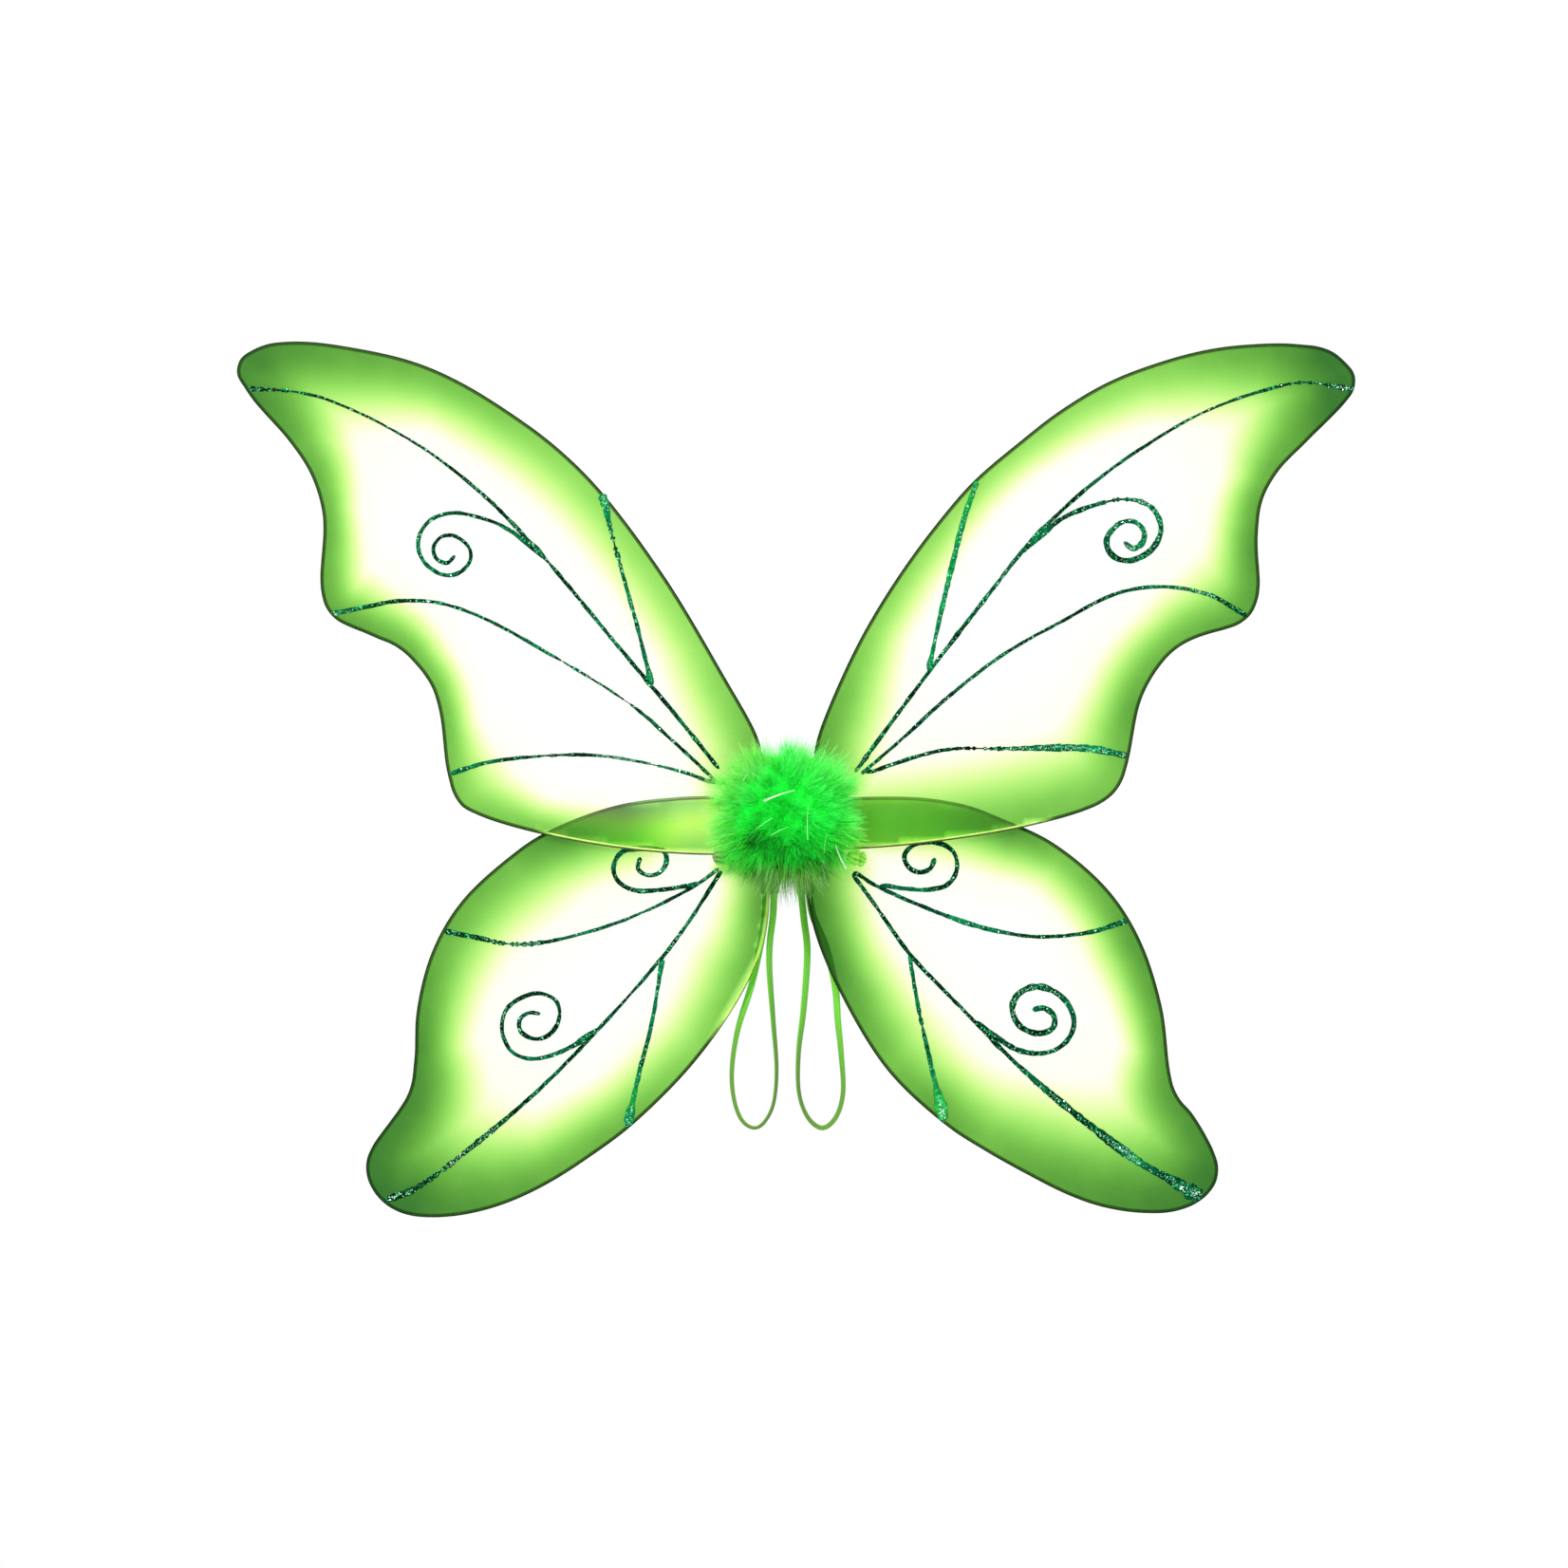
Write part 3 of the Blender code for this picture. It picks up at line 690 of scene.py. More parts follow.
def soft_noise(random, count, spacing):
    """Smooth random values between about -1 and 1, changing over the given number of samples."""
    knots = random.uniform(-1, 1, int(count / spacing) + 4)
    places = np.arange(count) / spacing
    low = np.floor(places).astype(int)
    part = places - low
    part = part * part * (3 - 2 * part)
    return knots[low] * (1 - part) + knots[low + 1] * part


def layer_depth(flat, line, depth):
    """The depth of a sleeve's front layer at some places on a wing."""
    return depth - layer_lift(gaps_to(flat, line).min(1))


def meeting_point(end, heading, others):
    """Where a vein that stops just short of another line joins it, if it is heading for one."""
    steps = np.arange(0, VEIN_CATCH, 0.25 * MM)
    ahead = end + heading * steps[:, None]
    apart = gaps_to(ahead, others).min(1)
    crossing = np.flatnonzero(apart < 0.5 * MM)
    if len(crossing):
        return ahead[crossing[0]]
    best = np.argmin(apart + 0.3 * steps)
    if apart[best] < VEIN_PULL:
        return others[gaps_to(ahead[best:best + 1], others)[0].argmin()]
    return end + heading * VEIN_REACH


# The small curls are squeezed flatter where they come up to the upper wings' lower edges.
CURL_CEILING = {"left_lower": -20.0 * MM, "right_lower": -15.0 * MM}
CURL_SQUEEZE = {"left_lower": 0.28, "right_lower": 0.55}


def nearness(run, x, z, reach):
    """How near a line's points are to a place given in millimetres: 1 at it, and fading over the reach."""
    away = np.hypot(run[:, 0] - x * MM, run[:, 1] - z * MM)
    return np.exp(-(away / (reach * MM)) ** 2)


def vein_run(wing, vein):
    """A vein's line on its wing, carried on to the wire or vein that it meets."""
    points, _ = tube_line(f"{wing}_{vein}")
    names = [name for name in VEIN_NAMES[wing.split("_")[1]] if name != vein]
    others = [smooth_line(tube_line(f"{wing}_{name}")[0], 0.6 * MM) for name in names]
    others = np.vstack([*others, smooth_line(wire_line(wing)[0], 0.6 * MM)])
    middle = points.mean(0)
    reach = [np.linalg.norm(end - middle) for end in (points[0], points[-1])]
    curled = vein in CURL_NAMES
    free = [not (curled and reach[0] < reach[1]), not (curled and reach[1] <= reach[0])]
    ends = [meeting_point(points[0], -turned(points[:2])[0], others),
            meeting_point(points[-1], turned(points[-2:])[1], others)]
    named = VEIN_JOINS.get(f"{wing}_{vein}")
    if named:
        place = np.array(named) * MM
        joined = np.argmin([np.linalg.norm(points[0] - place), np.linalg.norm(points[-1] - place)])
        if curled:
            joined = free.index(True)
        ends[joined] = others[gaps_to(place[None], others)[0].argmin()]
    if vein == "small_curl":
        over = np.maximum(0, points[:, 1] - CURL_CEILING[wing])
        points = points - np.stack([np.zeros(len(points)), over * (1 - CURL_SQUEEZE[wing])], axis=1)
    chain = [points]
    if free[0]:
        chain.insert(0, ends[0][None])
    if free[1]:
        chain.append(ends[1][None])
    return smooth_line(np.vstack(chain), VEIN_STEP)


def make_vein(wing, vein, material, random):
    """A domed, uneven bead of glitter glue squeezed on to the front layer."""
    run = vein_run(wing, vein)
    _, line, depth, _ = sleeve_outline(wing)
    base = layer_depth(run, line, depth)
    count = len(run)
    share = np.linspace(0, 1, count)
    uneven = 1 + 0.12 * soft_noise(random, count, 4) + 0.1 * soft_noise(random, count, 14)
    width = VEIN_WIDTH[vein] * MM * uneven
    rim_gap = gaps_to(run, line).min(1)
    tip = np.exp(-rim_gap / (14 * MM))
    width = width * (1 + 0.35 * np.exp(-rim_gap / (32 * MM)) + 0.4 * np.exp(-rim_gap / (6 * MM)))
    name = f"{wing}_{vein}"
    swell, lavish, dashed = np.ones(count), np.zeros(count), np.zeros(count)
    for x, z, times, reach in VEIN_SWELLS.get(name, ()):
        near = nearness(run, x, z, reach)
        swell = swell * (1 + (times - 1) * near)
        lavish = np.maximum(lavish, min(1.0, max(0.0, times - 1)) * near)
    for x, z, reach in VEIN_DASHES.get(name, ()):
        dashed = np.maximum(dashed, nearness(run, x, z, reach))
    width = width * swell
    taper = np.clip(np.minimum(share, 1 - share) * line_lengths(run)[-1] / (1.6 * MM), 0, 1) ** 0.5
    width = width * (0.25 + 0.75 * taper)
    height = VEIN_HEIGHT * (0.8 + 0.25 * soft_noise(random, count, 4)) * (0.3 + 0.7 * taper)
    along = turned(run)
    across = np.stack([along[:, 1], -along[:, 0]], axis=1)
    run = run + across * (0.1 * MM * soft_noise(random, count, 6))[:, None]
    glint = np.clip(0.6 * tip + lavish + np.clip(soft_noise(random, count, 30) * 1.6 - 0.7, 0, 1), 0, 1.2)
    width = width * (1 + 0.18 * glint * soft_noise(random, count, 2.5))
    breaks = np.clip(soft_noise(random, count, 1.6) * 3 + 0.4, 0, 1)
    width = width * (1 - 0.65 * dashed * breaks)
    glow = VEIN_GLOW[vein] + 0.22 * soft_noise(random, count, 26)
    glow = glow + 0.25 * lavish + 0.15 * tip - 0.15 * dashed
    sides = []
    for turn in np.radians(BEAD_TURNS):
        flat = run + across * (width / 2 * math.cos(turn))[:, None]
        sides.append(in_space(flat, base + 0.05 * MM - (height + 0.05 * MM) * math.sin(turn)))
    sides.append(in_space(run, base + 0.12 * MM))
    vertices = np.stack(sides, axis=1).reshape(-1, 3)
    piece = mesh_piece(f"{wing}_{vein}_bead", vertices, ring_faces(count, len(sides)), material)
    set_attribute(piece, "glow", np.repeat(glow, len(sides)))
    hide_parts(f"{wing}_{vein}")
    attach(piece, f"{wing}_wing")
    return run, across, base, width, height, glint


FLAKE_SIDES = 6
FLAKES_PER_MM = 1.5
FLAKE_RADII = (0.18, 0.42)


def make_flakes(wing, beads, material, random):
    """Loose glitter flakes set at all angles in the glue, and a few strayed beside it."""
    vertices, faces, tones = [], [], []
    for run, across, base, width, height, glint in beads:
        length = line_lengths(run)[-1]
        crowd = (0.2 + 2.4 * glint) * width / width.mean()
        chance = crowd / crowd.sum()
        total = int(length / MM * FLAKES_PER_MM * crowd.mean())
        picks = random.choice(len(run), total, p=chance)
        for pick in picks:
            offset = float(np.clip(random.normal(0, 0.3), -1.3, 1.3))
            stray = random.normal(0, (0.08 + 0.25 * glint[pick]) * MM, 2)
            flat = run[pick] + across[pick] * offset * width[pick] / 2 + stray
            dome = math.sqrt(max(0.0, 1 - min(1.0, abs(offset)) ** 2))
            place = np.array([flat[0], base[pick] - height[pick] * dome - 0.04 * MM, flat[1]])
            size = random.uniform(*FLAKE_RADII) * MM
            facing = np.array([random.normal(0, 0.45), -1, random.normal(0, 0.45)])
            facing /= np.linalg.norm(facing)
            u = np.cross(facing, (0.3, 0.1, 1))
            u /= np.linalg.norm(u)
            v = np.cross(facing, u)
            first = len(vertices)
            for turn in np.linspace(0, 2 * math.pi, FLAKE_SIDES, endpoint=False) + random.uniform(0, 1):
                vertices.append(place + size * (u * math.cos(turn) + v * math.sin(turn)))
            faces.append(tuple(range(first, first + FLAKE_SIDES)))
            bright = random.random() < 0.05 + 0.4 * glint[pick]
            tones.append(random.uniform(0.7, 1.0) if bright else random.uniform(0.0, 0.45))
    piece = mesh_piece(f"{wing}_glitter_flakes", vertices, faces, material, smooth=False)
    set_attribute(piece, "tone", np.repeat(tones, FLAKE_SIDES))
    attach(piece, f"{wing}_wing")


# ---------------------------------------------------------------- elastic straps

STRAP_WIDTH = 4.4 * MM
STRAP_THICKNESS = 1.7 * MM
STRAP_DEPTH = -3.3 * MM
STRAP_POINTS = {
    "left": (
        (-8.2, -46), (-8.7, -58), (-10.6, -74), (-10.8, -90), (-8.6, -120), (-6.6, -148), (-8.2, -168),
        (-13.4, -179.5), (-20, -183.5), (-27.4, -178.5), (-32, -165.5), (-33, -148), (-29.5, -125),
        (-21.5, -99), (-15.6, -72), (-13.2, -56), (-12.8, -46),
    ),
    "right": (
        (8.2, -46), (9.6, -60), (11.6, -80), (9.4, -113), (6.4, -139), (6.6, -162), (11.8, -177),
        (20.4, -183.5), (28.6, -177), (32.8, -162), (31.6, -139), (29.7, -120), (28, -99), (22.5, -76),
        (15, -58), (12.8, -46),
    ),
}
# How far the elastic is turned away from lying flat, in degrees, at shares of its way round.
STRAP_TWIST = {
    "left": ((0, 25), (0.15, 42), (0.26, 58), (0.34, 70), (0.44, 75), (0.52, 68), (0.60, 66), (0.70, 54),
             (0.80, 30), (0.9, 20), (1, 15)),
    "right": ((0, 20), (0.14, 30), (0.25, 42), (0.34, 62), (0.42, 73), (0.50, 64), (0.58, 64), (0.68, 48),
              (0.78, 26), (0.9, 18), (1, 15)),
}


def make_strap(side, material):
    """Flat braided elastic hanging in a loop, turning on its own line as it goes."""
    hidden_end = np.array([[0, 2.5]])
    points = np.array(STRAP_POINTS[side])
    points = np.vstack([points[:1] + hidden_end, points, points[-1:] + hidden_end]) * MM
    line = in_space(smooth_line(points, 1.6 * MM), STRAP_DEPTH)
    count = len(line)
    share = np.linspace(0, 1, count)
    places, angles = np.array(STRAP_TWIST[side]).T
    twist = np.radians(np.interp(share, places, angles))
    kernel = np.hanning(21)
    twist = np.convolve(np.pad(twist, 10, "edge"), kernel / kernel.sum(), "valid")
    along = turned(line)
    back = np.array([0.0, 1.0, 0.0])
    flat_side = np.cross(along, back)
    across = flat_side * np.cos(twist)[:, None] + back * np.sin(twist)[:, None]
    out = np.cross(along, across)
    turns = np.linspace(0, 2 * math.pi, 16, endpoint=False)
    ring_u = np.sign(np.cos(turns)) * np.abs(np.cos(turns)) ** 0.7
    ring_v = np.sign(np.sin(turns)) * np.abs(np.sin(turns)) ** 0.7
    vertices = (line[:, None] + across[:, None] * (ring_u * STRAP_WIDTH / 2)[None, :, None]
                + out[:, None] * (ring_v * STRAP_THICKNESS / 2)[None, :, None]).reshape(-1, 3)
    name = f"{side}_shoulder_elastic"
    piece = mesh_piece(name, vertices, ring_faces(count, len(turns)), material)
    lengths = line_lengths(line)
    set_attribute(piece, "along", np.repeat(lengths, len(turns)))
    set_attribute(piece, "across", np.tile(ring_u, count))
    # Where the elastic turns edge-on it is painted darker: painted shade.
    set_attribute(piece, "edge_on_shade", np.repeat(np.sin(twist) ** 2, len(turns)))
    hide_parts(f"{side}_strap")
    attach(piece, "hub")


def elastic_material():
    s = Shader("braided elastic")
    s.set(roughness=0.6, specular=0.3, sheen=0.08)
    along, across = s.attribute("along"), s.attribute("across")
    lane = s.math("ABSOLUTE", s.math("SINE", s.math("MULTIPLY", across, 7.5)))
    slant = s.math("ADD", s.math("MULTIPLY", along, 5200.0), s.math("MULTIPLY", lane, 2.2))
    braid = s.math("SINE", slant)
    height = s.math("ADD", s.math("MULTIPLY", braid, 0.5), lane)
    tone = s.spread(s.math("ADD", s.math("MULTIPLY", braid, 0.35), lane), -0.3, 1.2, 0.0, 1.0)
    front = s.ramp(tone, ((0.0, "2f8418"), (0.5, "5cc02c"), (1.0, "80dc40")))
    # A darker olive copy of the elastic's colour, for where it turns edge-on: painted shade.
    painted_shade = s.ramp(tone, ((0.0, "2e4806"), (1.0, "567a10")))
    s.link(s.mix(s.spread(s.attribute("edge_on_shade"), 0.25, 0.95, 0.0, 0.85), front, painted_shade),
           s.shader.inputs["Base Color"])
    s.bump(height, 0.5, 0.0003)
    return s.material


# ---------------------------------------------------------------- marabou pouf

POUF_MIDDLE = np.array([-1.5, -34.0, 1.0]) * MM
POUF_REAR = -17.5 * MM
POUF_REACH = {"side": 44.0 * MM, "top": 41.0 * MM, "bottom": 38.0 * MM, "front": 33.0 * MM}
POUF_SQUARENESS = 2.6
FEATHERS = 170
BARBS = 95
DOWN_STRANDS = 6000
FRINGE_WISPS = 900
STRANDS_PER_PIECE = 5200
# Plumes that lean further to one side than this go into that side's own pieces.
SIDE_LEAN = 0.45


def pouf_reach(directions):
    """How far the fluff's body reaches from its middle in each direction: squarish and taller on top."""
    up = np.where(directions[:, 2] < 0, POUF_REACH["bottom"], POUF_REACH["top"])
    scaled = np.abs(np.stack([directions[:, 0] / POUF_REACH["side"], directions[:, 1] / POUF_REACH["front"],
                              directions[:, 2] / up], axis=1))
    return (scaled ** POUF_SQUARENESS).sum(1) ** (-1 / POUF_SQUARENESS)


def unit(vectors):
    return vectors / np.maximum(np.linalg.norm(vectors, axis=-1, keepdims=True), 1e-12)


def spread_directions(count, random):
    """Evenly spread directions over the front and sides of the pouf."""
    whole = int(count * 1.6)
    index = np.arange(whole) + 0.5
    y = 1 - 2 * index / whole
    ring = np.sqrt(1 - y * y)
    turn = math.pi * (1 + 5 ** 0.5) * index
    points = np.stack([ring * np.cos(turn), y, ring * np.sin(turn)], axis=1)
    points = points + random.normal(0, 0.06, points.shape)
    return unit(points[points[:, 1] < 0.22])


def fluff_tone(places, group):
    """How bright, how yellow and how brown the down is at each place; the brightness is mostly painted shade
    and light.
    """
    x, z = places[:, 0] / MM, places[:, 2] / MM
    wave = 5 * np.sin(x * 0.13 + group * 0.9)
    # Darker over the lower part: mostly painted shade, partly darker down.
    shade = 0.90 - 0.40 / (1 + np.exp((z + 14 + wave) / 5.0))
    # A painted shadow in a hollow low on the left.
    hollow_shadow = np.exp(-((x + 22) ** 2 / 55 + (z + 13) ** 2 / 40))
    shade = shade - 0.42 * hollow_shadow
    rim = np.hypot(x / 44, z / 41)
    # Painted light: brighter towards the rim.
    shade = shade + 0.12 * np.clip((rim - 0.5) * 2, 0, 1)
    warm = np.clip((rim - 0.66) * 2.2, 0, 1) * np.where(z < -20, 0.5, 1.0)
    warm = warm * np.clip(1.1 - np.exp(-(x ** 2) / 250) * (z > 0), 0, 1)
    warm = warm * (1 - 0.6 * np.clip((x - 4) / 14, 0, 1) * (z > -5))
    brown = 1 / (1 + np.exp((z + 37 + 0.4 * wave) / 2.0))
    return shade, warm, brown


def strands(roots, starts, finishes, lengths, radii, random, joints=6, waver=0.12):
    """Curved tapering hairs as arrays of points: each sets off one way and bends to another."""
    count = len(roots)
    points = [roots]
    step = (lengths / joints)[:, None]
    sway = unit(random.normal(0, 1, (count, 3)))
    phase = random.uniform(0, 2 * math.pi, count)
    for joint in range(joints):
        share = (joint + 0.5) / joints
        heading = starts * (1 - share) + finishes * share
        heading = heading + sway * (waver * np.sin(phase + share * 7))[:, None]
        points.append(points[-1] + unit(heading) * step)
    points = np.stack(points, axis=1)
    shares = np.linspace(0, 1, joints + 1)
    return points, radii[:, None] * (1 - 0.8 * shares ** 1.5)[None, :]


def strand_mesh(name, bundle, material):
    """One mesh of three-sided tubes from the strand arrays."""
    points = np.concatenate([b["points"] for b in bundle])
    radii = np.concatenate([b["radii"] for b in bundle])
    count, rings, _ = points.shape
    heading = unit(points[:, -1] - points[:, 0])
    reference = np.where(np.abs(heading[:, 1:2]) < 0.9, np.array([[0.0, 1, 0]]), np.array([[1.0, 0, 0]]))
    u = unit(np.cross(heading, reference))
    v = np.cross(heading, u)
    corners = [u * math.cos(turn) + v * math.sin(turn) for turn in (0.0, 2.0944, 4.1888)]
    ring = np.stack(corners, axis=1)
    vertices = points[:, :, None, :] + ring[:, None] * radii[:, :, None, None]
    vertices = vertices.reshape(-1, 3)
    base = (np.arange(count) * rings * 3)[:, None, None]
    level = (np.arange(rings - 1) * 3)[None, :, None]
    side = np.arange(3)[None, None, :]
    after = (side + 1) % 3
    a = base + level + side
    b = base + level + after
    quads = np.stack([a, b, b + 3, a + 3], axis=-1).reshape(-1, 4)
    mesh = bpy.data.meshes.new(name)
    mesh.vertices.add(len(vertices))
    mesh.vertices.foreach_set("co", vertices.astype(np.float32).ravel())
    mesh.loops.add(quads.size)
    mesh.loops.foreach_set("vertex_index", quads.astype(np.int32).ravel())
    mesh.polygons.add(len(quads))
    mesh.polygons.foreach_set("loop_start", np.arange(0, quads.size, 4, dtype=np.int32))
    mesh.update(calc_edges=True)
    mesh.materials.append(material)
    mesh.shade_smooth()
    piece = bpy.data.objects.new(name, mesh)
    bpy.context.scene.collection.objects.link(piece)
    for key in ("shade", "warm", "brown", "pale"):
        values = np.concatenate([b[key] for b in bundle])
        set_attribute(piece, key, np.repeat(values.reshape(-1), 3))
    return piece


def bundle_of(points, radii, shade, warm, brown, pale):
    shape = radii.shape
    return {
        "points": points, "radii": radii,
        "shade": np.broadcast_to(shade, shape), "warm": np.broadcast_to(warm, shape),
        "brown": np.broadcast_to(brown, shape), "pale": np.broadcast_to(pale, shape),
    }


def make_feather(direction, reach, random, group, barbs):
    """A short marabou plume: a limp quill with long downy barbs that lie along it in a soft tuft."""
    root = POUF_MIDDLE + direction * reach * 0.25
    bend = unit(random.normal(0, 1, (1, 3)))[0]
    spread = np.array([direction[0], 0.0, direction[2]])
    comb = spread * (0.9 + 0.9 * np.linalg.norm(spread)) + np.array([0, 0, -0.22])
    quill_length = reach * random.uniform(0.52, 0.72)
    start = unit((direction + 0.2 * bend)[None])
    finish = unit((direction * 0.6 + 0.5 * bend + comb)[None])
    quill, quill_radii = strands(root[None], start, finish, np.array([quill_length]), np.array([0.22 * MM]),
                                 random, waver=0.05)
    line = quill[0]
    share = random.uniform(0.15, 1.0, barbs)
    spot = share * (len(line) - 1)
    low = np.minimum(spot.astype(int), len(line) - 2)
    part = (spot - low)[:, None]
    roots = line[low] * (1 - part) + line[low + 1] * part
    tangent = unit(line[low + 1] - line[low])
    lateral = unit(np.cross(tangent, random.normal(0, 1, (barbs, 3))))
    starts = unit(tangent * 0.8 + lateral * random.uniform(0.4, 0.9, (barbs, 1)))
    finishes = unit(tangent * 1.2 + lateral * random.uniform(0.0, 0.5, (barbs, 1)) + comb * 0.25)
    lengths = reach * random.uniform(0.26, 0.44, barbs) * (1.05 - 0.3 * share)
    radii = random.uniform(0.08, 0.2, barbs) * MM
    points, barb_radii = strands(roots, starts, finishes, lengths, radii, random, waver=0.2)
    shade, warm, brown = fluff_tone(points[:, -1], group)
    lift = random.normal(0, 0.10) + random.normal(0, 0.05, barbs)
    # Each barb is painted darker towards its root, as painted shade deep in the fluff.
    depth = np.linspace(-0.30, 0.10, points.shape[1])[None]
    made = [bundle_of(points, barb_radii, (shade + lift)[:, None] + depth, warm[:, None], brown[:, None],
                      np.maximum(0, random.normal(-0.12, 0.12, barbs))[:, None])]
    made.append(bundle_of(quill, quill_radii, 0.7, 0.3, 0.0, 0.35))
    return made


def make_down(count, random):
    """Short fine down standing all over the pouf's body, under and between the plumes."""
    directions = unit(spread_directions(int(count / 0.95), random) + random.normal(0, 0.02, (1, 3)))
    reach = pouf_reach(directions)
    roots = POUF_MIDDLE + directions * (reach * random.uniform(0.6, 0.8, len(reach)))[:, None]
    tangle = unit(random.normal(0, 1, roots.shape))
    x, z = roots[:, 0] / MM, roots[:, 2] / MM
    group_tilt = np.stack([np.sin(z * 0.35), np.zeros(len(roots)), np.cos(x * 0.3)], axis=1)
    starts = unit(directions + 0.5 * tangle + 0.25 * group_tilt)
    finishes = unit(directions * 0.8 + 0.8 * tangle + 0.3 * group_tilt + np.array([0, 0, -0.15]))
    lengths = random.uniform(5.5, 11.0, len(reach)) * MM
    radii = random.uniform(0.06, 0.14, len(reach)) * MM
    points, strand_radii = strands(roots, starts, finishes, lengths, radii, random, joints=4, waver=0.3)
    shade, warm, brown = fluff_tone(points[:, -1], 0.0)
    shade = shade + random.normal(0, 0.05, len(shade))
    # Each strand is painted darker towards its root, as painted shade deep in the fluff.
    depth = np.linspace(-0.2, 0.05, points.shape[1])[None]
    return bundle_of(points, strand_radii, shade[:, None] + depth, warm[:, None], brown[:, None], 0.0)


POUF_FRONT = -68.0 * MM
FLUFF_SLOPES = {"hub": 0.72, "side": 0.45}


def draw_forward(points, slope):
    """Draws the fluff's rear forward towards its rim, as far as the wings need when they sweep back."""
    rear = POUF_REAR - slope * np.maximum(0.0, np.abs(points[..., 0]) - 13 * MM)
    depth = np.minimum(points[..., 1], POUF_REAR)
    share = (rear - POUF_FRONT) / (POUF_REAR - POUF_FRONT)
    points[..., 1] = np.where(depth > POUF_FRONT, POUF_FRONT + (depth - POUF_FRONT) * share, depth)
    return points


# Bare quill ends that show on the pouf: two ends, each an (x, z) place with its depth, and the radius there.
BARE_QUILLS = (
    ((-13.6, 10.2, -66.0), (4.2, 16.6, -68.5), 0.8, 0.15),
    ((34.0, -29.0, -49.0), (27.6, -14.8, -58.0), 1.0, 0.2),
    ((11.6, -12.0, -64.5), (12.0, 8.5, -66.0), 0.3, 0.15),
    ((-9.7, -9.5, -64.5), (0.2, -4.6, -67.0), 0.32, 0.12),
    ((-32.5, -19.0, -50.0), (-9.0, 0.6, -65.5), 0.25, 0.25),
    ((-26.0, 22.0, -56.0), (-22.0, 27.0, -51.0), 0.25, 0.12),
    ((21.0, -20.0, -58.0), (22.5, -9.0, -62.0), 0.25, 0.12),
)


def make_bare_quills(random):
    made = []
    for start, finish, thick, thin in BARE_QUILLS:
        a, b = (np.array([p[0], p[2], p[1]]) * MM for p in (start, finish))
        heading = unit((b - a)[None])
        bow = unit(np.cross(heading, (0, 1, 0)))
        points, _ = strands(a[None], unit(heading + 0.12 * bow), unit(heading - 0.12 * bow),
                            np.array([np.linalg.norm(b - a)]), np.array([thick * MM]), random, waver=0.0)
        radii = np.linspace(thick, thin, points.shape[1])[None] * MM
        made.append(bundle_of(points, radii, 0.9, 0.3, 0.0, 0.95 if thick > 0.7 else 0.3))
    return made


def make_fringe(random):
    """Longer, thinner brownish wisps that hang below the pouf."""
    count = FRINGE_WISPS
    x = random.uniform(-20, 26, count) * MM
    turn = random.uniform(-0.35, 0.35, count)
    y, z = random.uniform(-56, -20, count) * MM, random.uniform(-36, -24, count) * MM
    roots = np.stack([x * 0.85, y, z], axis=1)
    outward = x / MM * 0.018 + turn * 0.3
    starts = unit(np.stack([outward, random.normal(0, 0.1, count), -np.ones(count)], axis=1))
    finishes = unit(starts + np.stack([turn, np.zeros(count), np.zeros(count)], axis=1))
    lengths = random.uniform(9, 19, count) * (1 - (x / (34 * MM)) ** 2) * MM
    points, radii = strands(roots, starts, finishes, lengths, random.uniform(0.07, 0.16, count) * MM, random)
    shade = random.uniform(0.1, 0.6, count)
    return bundle_of(points, radii, shade[:, None], 0.4, random.uniform(0.2, 1.0, count)[:, None],
                     np.maximum(0, random.normal(-0.05, 0.3, count))[:, None])


def make_pouf(material):
    """The pouf's plumes and down, drawn forward at the rear, with those at the sides in pieces of their own.
    """
    random = np.random.default_rng(40)
    directions = spread_directions(FEATHERS, random)
    reaches = pouf_reach(directions)
    groups = {"centre": [], "left": [], "right": []}
    for number, (direction, reach) in enumerate(zip(directions, reaches)):
        side = "left" if direction[0] < -SIDE_LEAN else "right" if direction[0] > SIDE_LEAN else "centre"
        groups[side] += make_feather(direction, reach, random, number, BARBS)
    groups["centre"] += [make_down(DOWN_STRANDS, random), make_fringe(random)]
    make_pouf_body(material)
    for group, bundles in groups.items():
        slope = FLUFF_SLOPES["hub" if group == "centre" else "side"]
        for bundle in bundles:
            bundle["points"] = draw_forward(bundle["points"], slope)
        for number, batch in enumerate(batches(bundles)):
            piece = strand_mesh(f"marabou_plumes_{group}_{number + 1}", batch, material)
            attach(piece, "hub")
            if group != "centre":
                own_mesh(piece)
    quills = strand_mesh("marabou_bare_quills", make_bare_quills(random), material)
    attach(quills, "hub")


def batches(bundles):
    """The strands in lots with the same number of joints, none too large for one mesh."""
    lots = []
    for joints in sorted({b["points"].shape[1] for b in bundles}):
        lot, size = [], 0
        for bundle in (b for b in bundles if b["points"].shape[1] == joints):
            count = len(bundle["points"])
            if lot and size + count > STRANDS_PER_PIECE * 6 / (joints - 1):
                lots.append(lot)
                lot, size = [], 0
            lot.append(bundle)
            size += count
        lots.append(lot)
    return lots


